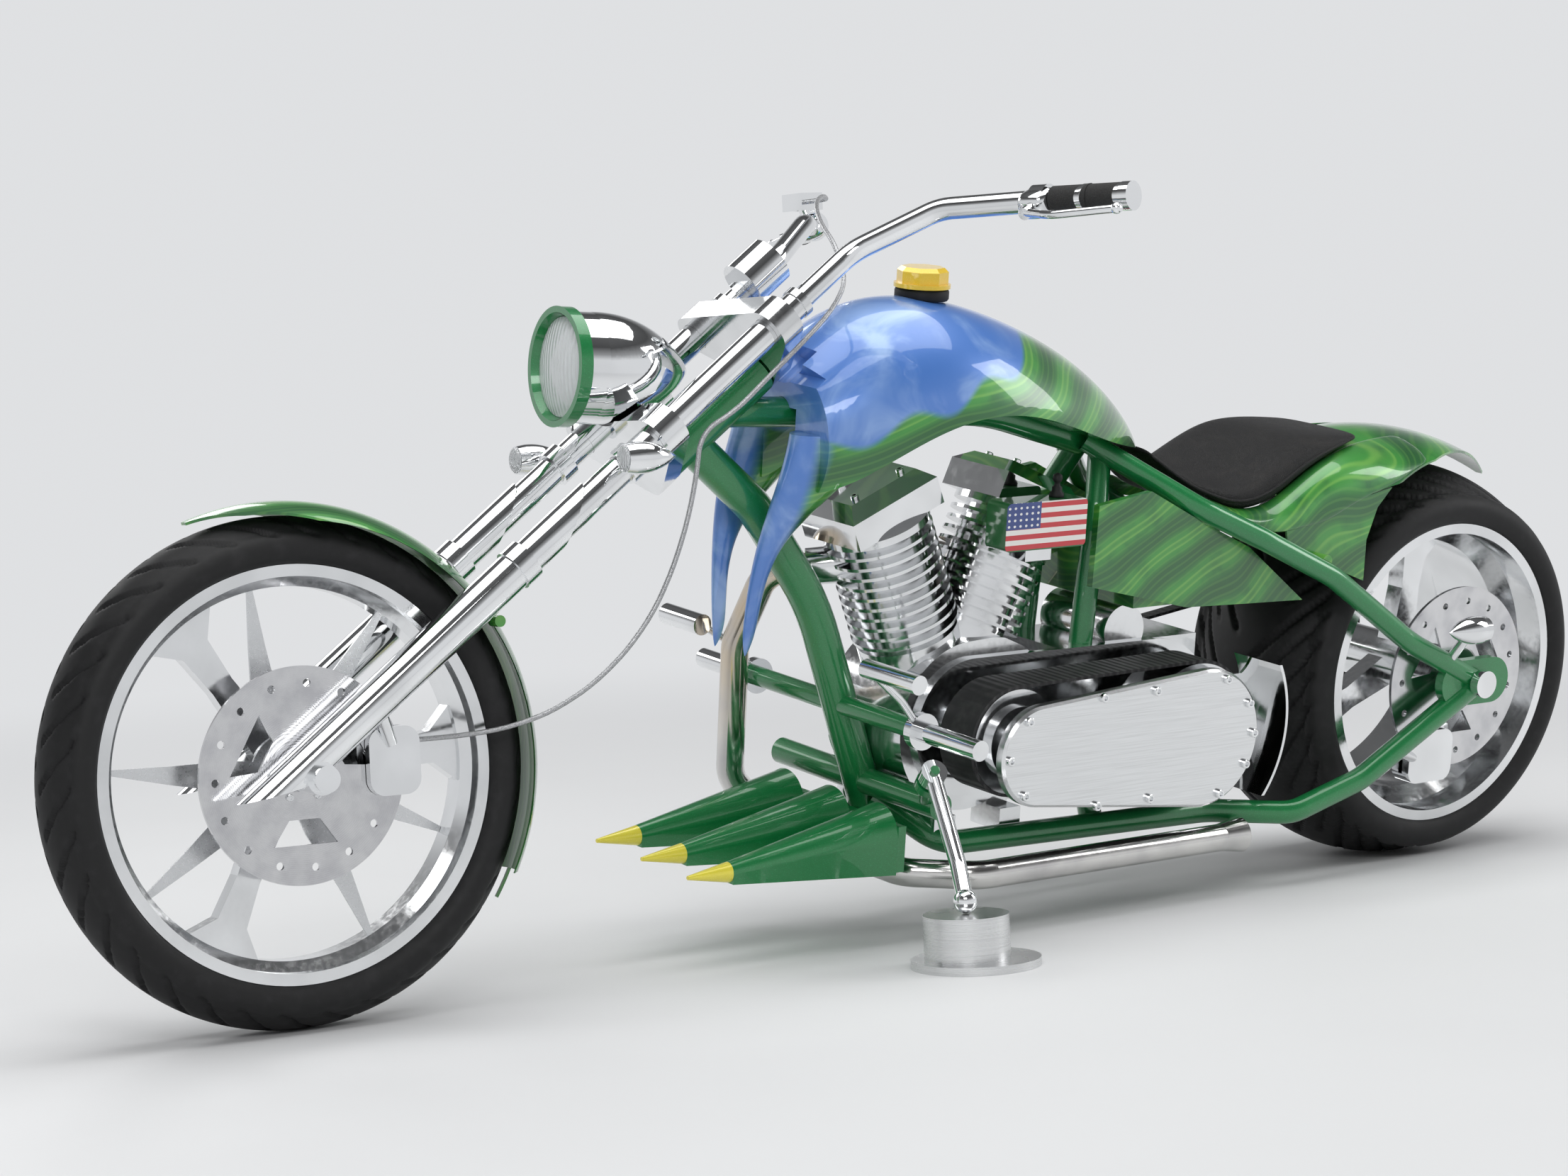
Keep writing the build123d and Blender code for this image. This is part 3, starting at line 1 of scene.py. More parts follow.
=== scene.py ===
"""Looks of the parked chopper: tyres with tread, padded saddle, paint, metal, screws, studio.

Pieces are drawn in millimetres on the upright machine (X forward, Y left, Z up, floor under the
rear axle as the origin) and carried to where the machine stands by one matrix per body.
"""

import json
import math

import bmesh
import bpy
from mathutils import Matrix, Vector


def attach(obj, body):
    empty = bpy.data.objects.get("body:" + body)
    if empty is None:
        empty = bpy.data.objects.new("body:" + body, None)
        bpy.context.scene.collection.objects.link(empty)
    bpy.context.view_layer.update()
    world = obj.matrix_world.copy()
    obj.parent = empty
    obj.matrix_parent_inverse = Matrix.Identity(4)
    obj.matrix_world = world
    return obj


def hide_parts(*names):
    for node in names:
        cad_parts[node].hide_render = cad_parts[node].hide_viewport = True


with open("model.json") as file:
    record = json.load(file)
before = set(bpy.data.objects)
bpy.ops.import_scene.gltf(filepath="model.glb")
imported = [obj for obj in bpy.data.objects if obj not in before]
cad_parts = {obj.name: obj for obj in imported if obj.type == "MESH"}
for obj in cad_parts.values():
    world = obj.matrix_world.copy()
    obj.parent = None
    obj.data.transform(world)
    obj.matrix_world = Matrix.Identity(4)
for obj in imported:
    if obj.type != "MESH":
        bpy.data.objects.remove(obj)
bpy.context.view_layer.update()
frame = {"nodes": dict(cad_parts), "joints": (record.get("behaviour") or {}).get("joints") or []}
nodes = frame["nodes"]
joints = {joint["name"]: joint for joint in frame["joints"]}

# Attitude and axles of the machine, degrees and millimetres
LEAN = 9.1
STEER = -12.8
PITCH = -0.01896
RAKE = 53.0
REAR_R = 322.0
FRONT_R = 344.0
WHEELBASE = 2060.0
LEG_LEAD = 20.0

MM = Matrix.Scale(0.001, 4)
pitched = Matrix.Rotation(math.radians(PITCH), 4, "Y")
leaned = pitched @ Matrix.Rotation(math.radians(-LEAN), 4, "X") @ MM
rear_spin = Vector(joints["rear_spin"]["pos_m"])
CHASSIS = Matrix.Translation(rear_spin - leaned @ Vector((0, 0, REAR_R))) @ leaned
steer_at = Vector(joints["steering"]["pos_m"])
steer_turn = Matrix.Rotation(math.radians(STEER), 4, Vector(joints["steering"]["axis"]))
STEERING = Matrix.Translation(steer_at) @ steer_turn @ Matrix.Translation(-steer_at) @ CHASSIS

UP = Vector((-math.sin(math.radians(RAKE)), 0, math.cos(math.radians(RAKE))))
AHEAD = Vector((math.cos(math.radians(RAKE)), 0, math.sin(math.radians(RAKE))))
FRONT_AXLE = Vector((WHEELBASE, 0, FRONT_R))
REAR_AXLE = Vector((0, 0, REAR_R))
LEG_FOOT = FRONT_AXLE + AHEAD * LEG_LEAD
SIDES = (("left", 1), ("right", -1))


def leg(along, across, ahead):
    """Point on the fork: up the leg, sideways, ahead."""
    return LEG_FOOT + UP * along + AHEAD * ahead + Vector((0, across, 0))


# Materials
class Nodes:
    """Short way to write the node tree of a material or a world."""

    def __init__(self, owner):
        owner.use_nodes = True
        self.owner = owner
        self.tree = owner.node_tree
        self.shader = self.tree.nodes.get("Principled BSDF")

    def add(self, kind, **values):
        """New node with socket values set by name; a value that is a socket is linked."""
        node = self.tree.nodes.new(kind)
        for key, value in values.items():
            if hasattr(node, key):
                setattr(node, key, value)
            else:
                self.put(node.inputs[key.replace("_", " ")], value)
        return node

    def put(self, socket, value):
        """Value or link into a socket."""
        if isinstance(value, bpy.types.NodeSocket):
            self.tree.links.new(value, socket)
        else:
            socket.default_value = value

    def set(self, **values):
        """Sockets of the surface shader."""
        for key, value in values.items():
            self.put(self.shader.inputs[key.replace("_", " ")], value)

    def math(self, operation, a, b=0.0):
        """Sum, product or other function of two values."""
        node = self.add("ShaderNodeMath", operation=operation)
        self.put(node.inputs[0], a)
        self.put(node.inputs[1], b)
        return node.outputs[0]

    def mix(self, factor, a, b):
        """Blend of two colours."""
        node = self.add("ShaderNodeMix", data_type="RGBA")
        self.put(node.inputs[0], factor)
        self.put(node.inputs[6], a)
        self.put(node.inputs[7], b)
        return node.outputs[2]

    def ramp(self, value, low, high):
        """Value stretched from low..high to 0..1."""
        node = self.add("ShaderNodeMapRange", interpolation_type="SMOOTHSTEP")
        self.put(node.inputs[0], value)
        node.inputs[1].default_value = low
        node.inputs[2].default_value = high
        return node.outputs[0]

    def place(self, matrix):
        """Coordinates on the upright machine, in millimetres, as a vector and its parts."""
        geometry = self.add("ShaderNodeNewGeometry")
        rows = matrix.inverted()
        parts = []
        for row in rows[:3]:
            dot = self.add("ShaderNodeVectorMath", operation="DOT_PRODUCT")
            self.put(dot.inputs[0], geometry.outputs["Position"])
            dot.inputs[1].default_value = row[:3]
            parts.append(self.math("ADD", dot.outputs["Value"], row[3]))
        joined = self.add("ShaderNodeCombineXYZ")
        for socket, part in zip(joined.inputs, parts):
            self.put(socket, part)
        return joined.outputs[0], parts

    def noise(self, scale, detail=3.0, vector=None, distortion=0.0):
        """Noise value from 0 to 1."""
        node = self.add("ShaderNodeTexNoise")
        node.inputs["Scale"].default_value = scale
        node.inputs["Detail"].default_value = detail
        node.inputs["Distortion"].default_value = distortion
        if vector is None:
            vector = self.add("ShaderNodeTexCoord").outputs["Object"]
        self.put(node.inputs["Vector"], vector)
        return node.outputs[0]

    def bump(self, height, strength, distance):
        """Relief on the surface."""
        node = self.add("ShaderNodeBump")
        node.inputs["Strength"].default_value = strength
        node.inputs["Distance"].default_value = distance
        self.put(node.inputs["Height"], height)
        self.put(self.shader.inputs["Normal"], node.outputs[0])

    def seen(self):
        """1 for the camera's rays, straight, mirrored or through glass, and 0 for the rest."""
        rays = self.add("ShaderNodeLightPath").outputs
        mirrored = self.math("MAXIMUM", rays["Is Glossy Ray"], rays["Is Transmission Ray"])
        return self.math("MAXIMUM", rays["Is Camera Ray"], mirrored)

    def blend(self, factor, a, b, output):
        """Mix of two shaders into the tree's output."""
        node = self.add("ShaderNodeMixShader")
        for socket, value in zip(node.inputs, (factor, a, b)):
            self.put(socket, value)
        self.put(output.inputs["Surface"], node.outputs[0])


def new_material(name):
    """Node tree of a new material."""
    return Nodes(bpy.data.materials.new(name))


def metal(name, colour, rough, grain, haze):
    """Bare metal whose gloss varies with handling and polishing marks."""
    n = new_material(name)
    marks = n.noise(grain, 5.0)
    smears = n.noise(9.0, 2.0)
    worn = tuple(0.86 * c for c in colour[:3]) + (1.0,)
    n.set(Base_Color=n.mix(n.ramp(smears, 0.35, 0.75), colour, worn), Metallic=1.0)
    gloss = n.math("MULTIPLY_ADD", n.ramp(marks, 0.3, 0.8), haze)
    gloss.node.inputs[2].default_value = rough
    n.set(Roughness=gloss)
    n.bump(marks, 0.03, 0.0004)
    return n.owner


def turned_metal(name, matrix, centre, colour):
    """Brake disc steel with rings left by the pads."""
    n = new_material(name)
    _, (x, _, z) = n.place(matrix)
    dx = n.math("SUBTRACT", x, centre.x)
    dz = n.math("SUBTRACT", z, centre.z)
    radius = n.math("SQRT", n.math("ADD", n.math("MULTIPLY", dx, dx), n.math("MULTIPLY", dz, dz)))
    rings = n.math("SINE", n.math("MULTIPLY", radius, 2.4))
    n.set(Base_Color=n.mix(n.ramp(n.noise(30.0), 0.3, 0.8), colour, (0.52, 0.52, 0.54, 1)), Metallic=1.0)
    n.set(Roughness=n.math("ADD", n.math("MULTIPLY", rings, 0.03), 0.14))
    n.bump(rings, 0.03, 0.0002)
    return n.owner


def clear_coat(n, colour):
    """Gloss paint under a clear coat with slight orange peel."""
    n.set(Base_Color=colour, Metallic=0.15, Roughness=0.32, Coat_Weight=1.0, Coat_Roughness=0.03)
    n.bump(n.noise(160.0, 2.0), 0.04, 0.0006)
    return n.owner


def plain_paint(name, colour, fleck):
    """One-colour gloss paint with fine metallic flecks."""
    n = new_material(name)
    flecks = n.ramp(n.noise(900.0, 1.0), 0.55, 0.75)
    return clear_coat(n, n.mix(flecks, colour, fleck))


# Paint colours of the ribbons and the sky
GREEN = (0.012, 0.13, 0.030, 1)
LIME = (0.045, 0.29, 0.042, 1)
PALE = (0.17, 0.44, 0.075, 1)
SKY = (0.075, 0.21, 0.60, 1)
HAZE = (0.33, 0.50, 0.82, 1)
DEEP = (0.012, 0.115, 0.024, 1)


def ribbons(n, vector, phase):
    """Overlapping soft blades of two greens with a thin pale edge and shade between them."""
    wave = n.math("SINE", phase)
    fine = n.math("SINE", n.math("MULTIPLY", phase, 7.0))
    blade = n.mix(n.ramp(wave, -0.9, 0.7), DEEP, LIME)
    blade = n.mix(n.ramp(n.noise(0.02, 3.0, vector), 0.4, 0.8), blade, GREEN)
    edge = n.math("SUBTRACT", 1.0, n.math("ABSOLUTE", n.math("SUBTRACT", wave, 0.9)))
    veins = n.math("MULTIPLY", n.ramp(edge, 0.86, 1.0), 0.55)
    streaks = n.math("MULTIPLY", n.ramp(fine, 0.2, 1.0), 0.18)
    return n.mix(n.math("ADD", veins, streaks), blade, PALE)


def ribbon_paint(name, matrix, along, across, pitch, slant):
    """Gloss green with long brush ribbons.  along, across: numbers of the axes they follow."""
    n = new_material(name)
    vector, parts = n.place(matrix)
    wander = n.math("MULTIPLY", n.noise(0.005, 1.0, vector), 9.0)
    phase = n.math("MULTIPLY", parts[across], math.tau / pitch)
    phase = n.math("ADD", phase, n.math("MULTIPLY", parts[along], slant * math.tau / pitch))
    return clear_coat(n, ribbons(n, vector, n.math("ADD", phase, wander)))


# Tank: slope and pitch of the blades, waves of the line under the sky, where the sky begins
TANK_MID = 1000.0
TANK_SLOPE = 0.34
TANK_PITCH = 74.0
TANK_WAVE = (0.048, 12.0)
SKY_LINE = (836.0, 850.0)
SKY_NOSE = (1400.0, 1425.0)
NOSE_SLOPE = 0.2


def tank_paint(name, matrix):
    """Blue above with pale drifts, over green ribbons that sweep from the prongs to the tail."""
    n = new_material(name)
    vector, (x, _, z) = n.place(matrix)
    drift = n.noise(0.009, 4.0, vector, 0.8)
    sky = n.mix(n.ramp(drift, 0.44, 0.72), SKY, HAZE)
    line = n.math("ADD", z, n.math("MULTIPLY", n.math("SUBTRACT", x, TANK_MID), TANK_SLOPE))
    wander = n.math("MULTIPLY", n.noise(0.004, 1.0, vector), 9.0)
    phase = n.math("MULTIPLY", line, math.tau / TANK_PITCH)
    blades = ribbons(n, vector, n.math("ADD", phase, wander))
    rate, swing = TANK_WAVE
    tips = n.math("MULTIPLY", n.math("SINE", n.math("MULTIPLY", x, rate)), swing)
    above = n.ramp(n.math("ADD", line, tips), *SKY_LINE)
    front = n.ramp(n.math("ADD", x, n.math("MULTIPLY", z, NOSE_SLOPE)), *SKY_NOSE)
    return clear_coat(n, n.mix(n.math("MAXIMUM", above, front), blades, sky))


# Banner: number of stripes, spacing of the dots, share of length and height left to the corner
STRIPES = 9.0
DOT_PITCH = (11.0, 9.0)
CORNER = (0.42, 0.45)


def banner_paint(name, matrix, low, high, left):
    """Common stripes with a dotted blue corner, on the box's outer face."""
    n = new_material(name)
    _, (x, y, z) = n.place(matrix)
    height = (high[1] - low[1]) / STRIPES
    rows = n.math("FRACT", n.math("MULTIPLY", n.math("SUBTRACT", z, low[1]), 0.5 / height))
    stripes = n.mix(n.math("GREATER_THAN", rows, 0.5), (0.55, 0.02, 0.03, 1), (0.82, 0.80, 0.76, 1))
    du = n.math("SUBTRACT", n.math("FRACT", n.math("MULTIPLY", x, 1.0 / DOT_PITCH[0])), 0.5)
    dv = n.math("SUBTRACT", n.math("FRACT", n.math("MULTIPLY", z, 1.0 / DOT_PITCH[1])), 0.5)
    dots = n.math("ADD", n.math("MULTIPLY", du, du), n.math("MULTIPLY", dv, dv))
    corner = n.mix(n.math("LESS_THAN", dots, 0.045), (0.02, 0.05, 0.22, 1), (0.8, 0.8, 0.8, 1))
    ahead = n.math("GREATER_THAN", x, high[0] - CORNER[0] * (high[0] - low[0]))
    upper = n.math("GREATER_THAN", z, low[1] + CORNER[1] * (high[1] - low[1]))
    face = n.mix(n.math("MULTIPLY", ahead, upper), stripes, corner)
    side = n.math("GREATER_THAN", y, left)
    inside = n.math("MULTIPLY", side, n.math("GREATER_THAN", z, low[1]))
    return clear_coat(n, n.mix(inside, GREEN, face))


def rubber(name, colour, rough, grain):
    """Black rubber, dusty on its high spots."""
    n = new_material(name)
    dust = n.noise(45.0, 4.0)
    n.set(Base_Color=n.mix(n.ramp(dust, 0.45, 0.85), colour, tuple(2.2 * c for c in colour[:3]) + (1,)))
    n.set(Roughness=n.math("ADD", n.math("MULTIPLY", dust, 0.2), rough), Specular_IOR_Level=0.35)
    n.bump(n.noise(grain, 3.0), 0.2, 0.0006)
    return n.owner


# Bright ring and end cap of each grip, distance from the middle of the bars
GRIP_RING_Y = 389.0
GRIP_RING_HALF = 4.6
GRIP_CAP_Y = 442.0


def grip_foam(name, matrix):
    """Black foam sleeves with a bright ring between them and a bright end cap."""
    n = new_material(name)
    _, (_, y, _) = n.place(matrix)
    out = n.math("ABSOLUTE", y)
    off_ring = n.math("ABSOLUTE", n.math("SUBTRACT", out, GRIP_RING_Y))
    ring = n.math("LESS_THAN", off_ring, GRIP_RING_HALF)
    bright = n.math("MAXIMUM", ring, n.math("GREATER_THAN", out, GRIP_CAP_Y))
    pores = n.noise(900.0, 3.0)
    foam = n.mix(n.ramp(pores, 0.4, 0.7), (0.010, 0.010, 0.010, 1), (0.030, 0.030, 0.030, 1))
    n.set(Base_Color=n.mix(bright, foam, (0.85, 0.86, 0.87, 1)), Metallic=bright)
    n.set(Roughness=n.math("SUBTRACT", 0.8, n.math("MULTIPLY", bright, 0.74)))
    n.bump(n.math("MULTIPLY", pores, n.math("SUBTRACT", 1.0, bright)), 0.5, 0.001)
    return n.owner


def toothed(name, matrix, pitch):
    """Belt rubber with cross ribs."""
    n = new_material(name)
    _, (x, _, _) = n.place(matrix)
    ribs = n.math("SINE", n.math("MULTIPLY", x, math.tau / pitch))
    dust = n.ramp(n.noise(60.0), 0.4, 0.8)
    n.set(Base_Color=n.mix(dust, (0.010, 0.010, 0.011, 1), (0.03, 0.03, 0.03, 1)))
    n.set(Roughness=0.55)
    n.bump(ribs, 0.5, 0.002)
    return n.owner


def leather(name):
    """Black saddle leather with pebbled grain and creases."""
    n = new_material(name)
    cells = n.add("ShaderNodeTexVoronoi", feature="DISTANCE_TO_EDGE")
    cells.inputs["Scale"].default_value = 420.0
    n.put(cells.inputs["Vector"], n.add("ShaderNodeTexCoord").outputs["Object"])
    creases = n.noise(24.0, 4.0, None, 1.5)
    worn = n.ramp(creases, 0.4, 0.8)
    n.set(Base_Color=n.mix(worn, (0.006, 0.006, 0.0065, 1), (0.014, 0.013, 0.0125, 1)))
    n.set(Roughness=n.math("ADD", n.math("MULTIPLY", creases, 0.2), 0.42), Specular_IOR_Level=0.3)
    height = n.math("ADD", n.math("MULTIPLY", cells.outputs[0], 4.0), n.math("MULTIPLY", creases, 0.8))
    n.bump(height, 0.35, 0.0012)
    return n.owner


def fluted_glass(name, matrix, pitch, tint, rough, clear):
    """Pressed glass with upright flutes."""
    n = new_material(name)
    _, (_, y, _) = n.place(matrix)
    flutes = n.math("SINE", n.math("MULTIPLY", y, math.tau / pitch))
    n.set(Base_Color=tint, Roughness=rough, Transmission_Weight=clear, IOR=1.48)
    n.bump(n.math("ADD", flutes, n.math("MULTIPLY", n.noise(40.0), 0.3)), 0.5, 0.002)
    return n.owner


# Heights between which the exhaust pipes yellow
COOL_Z = 180.0
HOT_Z = 520.0


def heated_steel(name, matrix):
    """Stainless pipe that has yellowed towards the engine."""
    n = new_material(name)
    _, (_, _, z) = n.place(matrix)
    hot = n.ramp(z, COOL_Z, HOT_Z)
    tone = n.mix(hot, (0.72, 0.71, 0.69, 1), (0.62, 0.50, 0.34, 1))
    n.set(Base_Color=n.mix(n.ramp(n.noise(14.0), 0.3, 0.8), tone, (0.55, 0.54, 0.54, 1)), Metallic=1.0)
    n.set(Roughness=n.math("ADD", n.math("MULTIPLY", n.noise(60.0), 0.12), 0.08))
    return n.owner


def brushed(name, matrix, stretch, colour, rough):
    """Aluminium with fine straight machining lines.  stretch: lines per millimetre along x, y, z."""
    n = new_material(name)
    _, parts = n.place(matrix)
    joined = n.add("ShaderNodeCombineXYZ")
    for socket, part, rate in zip(joined.inputs, parts, stretch):
        n.put(socket, n.math("MULTIPLY", part, rate))
    lines = n.noise(1.0, 4.0, joined.outputs[0])
    worn = tuple(0.88 * c for c in colour[:3]) + (1.0,)
    n.set(Base_Color=n.mix(n.ramp(lines, 0.35, 0.7), colour, worn), Metallic=1.0)
    n.set(Roughness=n.math("ADD", n.math("MULTIPLY", lines, 0.14), rough))
    n.bump(lines, 0.05, 0.0003)
    return n.owner


def braid(name):
    """Woven steel hose cover."""
    n = new_material(name)
    cells = n.add("ShaderNodeTexVoronoi")
    cells.inputs["Scale"].default_value = 900.0
    n.put(cells.inputs["Vector"], n.add("ShaderNodeTexCoord").outputs["Object"])
    wires = n.mix(cells.outputs[0], (0.62, 0.63, 0.64, 1), (0.20, 0.20, 0.21, 1))
    n.set(Base_Color=wires, Metallic=0.8, Roughness=0.35)
    n.bump(cells.outputs[0], 0.4, 0.0006)
    return n.owner


CHROME = metal("chrome", (0.86, 0.87, 0.88, 1), 0.03, 70.0, 0.05)
POLISHED = metal("polished_aluminium", (0.80, 0.81, 0.82, 1), 0.09, 120.0, 0.10)
SATIN = metal("satin_aluminium", (0.70, 0.71, 0.72, 1), 0.26, 240.0, 0.10)
FRAME_GREEN = plain_paint("frame_green", (0.006, 0.19, 0.048, 1), (0.02, 0.30, 0.09, 1))
YELLOW = plain_paint("cap_yellow", (0.90, 0.60, 0.02, 1), (0.95, 0.70, 0.10, 1))
LEMON = plain_paint("tip_yellow", (0.85, 0.74, 0.06, 1), (0.92, 0.82, 0.16, 1))
BRUSHED = brushed("brushed_aluminium", CHASSIS, (0.01, 0.9, 0.9), (0.80, 0.81, 0.82, 1), 0.16)
TURNED = brushed("turned_aluminium", MM, (0.01, 0.01, 1.1), (0.74, 0.745, 0.75, 1), 0.20)
TYRE = rubber("tyre_rubber", (0.008, 0.008, 0.0085, 1), 0.5, 500.0)
FOAM = grip_foam("grip_foam", STEERING)
LEATHER = leather("saddle_leather")
BELT = toothed("belt_rubber", CHASSIS, 14.0)
GLASS = fluted_glass("headlight_glass", STEERING, 9.0, (0.93, 0.96, 0.98, 1), 0.06, 0.3)
CLEAR = fluted_glass("clear_lens", CHASSIS, 4.0, (0.90, 0.92, 0.94, 1), 0.05, 0.6)
STAINLESS = heated_steel("stainless", CHASSIS)
BRAID = braid("braided_hose")
FENDER_PAINT = ribbon_paint("rear_fender_paint", CHASSIS, 0, 2, 92.0, 0.5)
DISC_STEEL = (0.66, 0.66, 0.67, 1)
# Outer face of the electrics box: corners (x, z), and the y beyond which the banner shows
BOX_LOW = (790.0, 590.0)
BOX_HIGH = (945.0, 658.0)
BOX_FACE = 141.0

finishes = {
    CHROME: [
        "fork_leg_left fork_leg_right front_axle lower_tree headlight_bowl handlebar",
        "hand_controls speedometer fork_signals front_caliper rear_axle side_stand front_rocker",
        "rear_rocker air_cleaner clutch_guard control_left control_right rear_signals rear_caliper",
    ],
    POLISHED: [
        "front_wheel rear_wheel crankcase front_cylinder rear_cylinder primary_plate transmission",
        "rear_pulley upper_tree",
    ],
    SATIN: ["front_blades"],
    BRUSHED: ["primary_cover"],
    TURNED: ["puck"],
    FRAME_GREEN: ["frame headlight_bezel snouts"],
    YELLOW: ["fuel_cap"],
    LEMON: ["snout_tips"],
    TYRE: ["front_tyre rear_tyre"],
    FOAM: ["grips"],
    LEATHER: ["seat"],
    BELT: ["primary_belt drive_belt"],
    GLASS: ["headlight_lens"],
    STAINLESS: ["exhaust_left exhaust_right"],
    BRAID: ["front_brake_line"],
    turned_metal("front_disc_steel", STEERING, FRONT_AXLE, DISC_STEEL): ["front_disc"],
    turned_metal("rear_disc_steel", CHASSIS, REAR_AXLE, DISC_STEEL): ["rear_disc"],
    tank_paint("tank_paint", CHASSIS): ["tank"],
    FENDER_PAINT: ["rear_fender"],
    ribbon_paint("front_fender_paint", STEERING, 0, 1, 60.0, 0.1): ["front_fender"],
    ribbon_paint("side_panel_paint", CHASSIS, 0, 2, 84.0, 0.5): ["oil_tank"],
    banner_paint("banner_paint", CHASSIS, BOX_LOW, BOX_HIGH, BOX_FACE): ["electrics_box"],
}
for material, lists in finishes.items():
    for name in " ".join(lists).split():
        nodes[name].data.materials.clear()
        nodes[name].data.materials.append(material)


# Building pieces
def piece(name, mesh, matrix, body, material, smooth=True):
    """Object from a bmesh drawn on the upright machine, riding on a body."""
    mesh.normal_update()
    data = bpy.data.meshes.new(name)
    mesh.to_mesh(data)
    mesh.free()
    data.transform(matrix)
    data.materials.append(material)
    if smooth:
        data.shade_smooth()
    obj = bpy.data.objects.new(name, data)
    bpy.context.scene.collection.objects.link(obj)
    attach(obj, body)
    return obj


def smoothed(obj):
    """Subdivision surface on a piece."""
    modifier = obj.modifiers.new("smooth", "SUBSURF")
    modifier.levels = 2
    modifier.render_levels = 2
    return obj


def ring_mesh(rings, closed=True):
    """Skin over rings of points, each ring closed, joined end to end when closed."""
    mesh = bmesh.new()
    rows = [[mesh.verts.new(p) for p in ring] for ring in rings]
    pairs = list(zip(rows, rows[1:]))
    if closed:
        pairs.append((rows[-1], rows[0]))
    for a, b in pairs:
        for i in range(len(a)):
            j = (i + 1) % len(a)
            mesh.faces.new((a[i], a[j], b[j], b[i]))
    if not closed:
        mesh.faces.new(reversed(rows[0]))
        mesh.faces.new(rows[-1])
    bmesh.ops.recalc_face_normals(mesh, faces=mesh.faces)
    return mesh


def arc3(a, b, c, count):
    """Points on the circle through three points, from a to c."""
    ax, ay = a
    bx, by = b
    cx, cy = c
    d = 2 * (ax * (by - cy) + bx * (cy - ay) + cx * (ay - by))
    ux = ((ax**2 + ay**2) * (by - cy) + (bx**2 + by**2) * (cy - ay) + (cx**2 + cy**2) * (ay - by)) / d
    uy = ((ax**2 + ay**2) * (cx - bx) + (bx**2 + by**2) * (ax - cx) + (cx**2 + cy**2) * (bx - ax)) / d
    r = math.hypot(ax - ux, ay - uy)
    start = math.atan2(ay - uy, ax - ux)
    middle = (math.atan2(by - uy, bx - ux) - start) % math.tau
    sweep = (math.atan2(cy - uy, cx - ux) - start) % math.tau
    if middle > sweep:
        sweep -= math.tau
    return [
        (ux + r * math.cos(start + sweep * i / count), uy + r * math.sin(start + sweep * i / count))
        for i in range(count + 1)
    ]


def step(value, low, high):
    """Smooth rise from 0 to 1."""
    t = min(max((value - low) / (high - low), 0.0), 1.0)
    return t * t * (3 - 2 * t)


# Steps round a tyre, up its wall and across its crown
TYRE_STEPS = 560
WALL_STEPS = 14
CROWN_STEPS = 44
# Seat on the rim: gap over the flange, distance inside the rim's edge, depth below the flange
LIP_GAP = 0.6
HEEL_IN = 5.4
SEAT_DEPTH = 9.5
# Tread ends this far below the shoulder and inside the widest place
TREAD_BELOW = 14
TREAD_INSIDE = 3


def tyre(name, node, body, matrix, axle, size, tread):
    """Tyre with cut tread.

    size: radius, half width, crown radius, crown half, flange radius, rim half.
    """
    radius, half, crown, crown_half, flange, rim_half = size
    shoulder = radius - crown + math.sqrt(crown**2 - crown_half**2)
    waist = flange + 0.5 * (shoulder - flange)
    lip = flange + LIP_GAP
    seat = flange - SEAT_DEPTH
    heel = rim_half - HEEL_IN
    wall = arc3((rim_half, lip), (half, waist), (crown_half, shoulder), WALL_STEPS)
    top = arc3((crown_half, shoulder), (0, radius), (-crown_half, shoulder), CROWN_STEPS)
    profile = wall + top[1:] + [(-y, r) for y, r in reversed(wall)][1:]
    profile += [(-heel, lip), (-heel, seat), (heel, seat), (heel, lip)]
    rings = []
    for i in range(TYRE_STEPS):
        turn = math.tau * i / TYRE_STEPS
        ring = []
        for y, r in profile:
            cut = r > shoulder - TREAD_BELOW and abs(y) < half - TREAD_INSIDE
            reach = r - (tread(turn * radius, y) if cut else 0.0)
            ring.append(axle + Vector((reach * math.cos(turn), y, reach * math.sin(turn))))
        rings.append(ring)
    obj = piece(name, ring_mesh(rings), matrix, body, TYRE)
    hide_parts(node)


def groove(phase, pitch, width, depth):
    """Depth of the nearest of a row of grooves."""
    off = abs((phase + pitch / 2) % pitch - pitch / 2)
    return depth * (1 - step(off, 0.32 * width, 0.5 * width))


# Cuts round each tyre, on either side
REAR_CUTS = 18
FRONT_CUTS = 34


def rear_tread(u, v):
    """Long slanted sweeps from the middle to each shoulder, with a short one between."""
    pitch = math.tau * REAR_R / REAR_CUTS
    lean = 0.9 * abs(v) + 0.004 * v * v
    shift = 0.5 * pitch if v < 0 else 0.0
    inner = step(abs(v), 9, 16)
    long = groove(u + shift - lean, pitch, 17.0, 8.0) * inner
    short = groove(u + shift - lean + 0.5 * pitch, pitch, 13.0, 7.0) * step(abs(v), 62, 72)
    return max(long, short) * (1 - step(abs(v), 128, 142))


def front_tread(u, v):
    """Hooked cuts on each side of a closed middle band."""
    pitch = math.tau * FRONT_R / FRONT_CUTS
    lean = 0.8 * abs(v) + 0.012 * v * v
    shift = 0.5 * pitch if v < 0 else 0.0
    cut = groove(u + shift - lean, pitch, 13.0, 6.0) * step(abs(v), 5, 9)
    return cut * (1 - step(abs(v), 50, 57))


# Radius, half width, crown radius, crown half, flange radius, rim half
REAR_TYRE = (321.8, 151.8, 230, 118, 243, 142)
FRONT_TYRE = (343.8, 61.8, 66, 48, 280, 48)
tyre("rear_tyre_tread", "rear_tyre", "rear_wheel", CHASSIS, REAR_AXLE, REAR_TYRE, rear_tread)
tyre("front_tyre_tread", "front_tyre", "front_wheel", STEERING, FRONT_AXLE, FRONT_TYRE, front_tread)


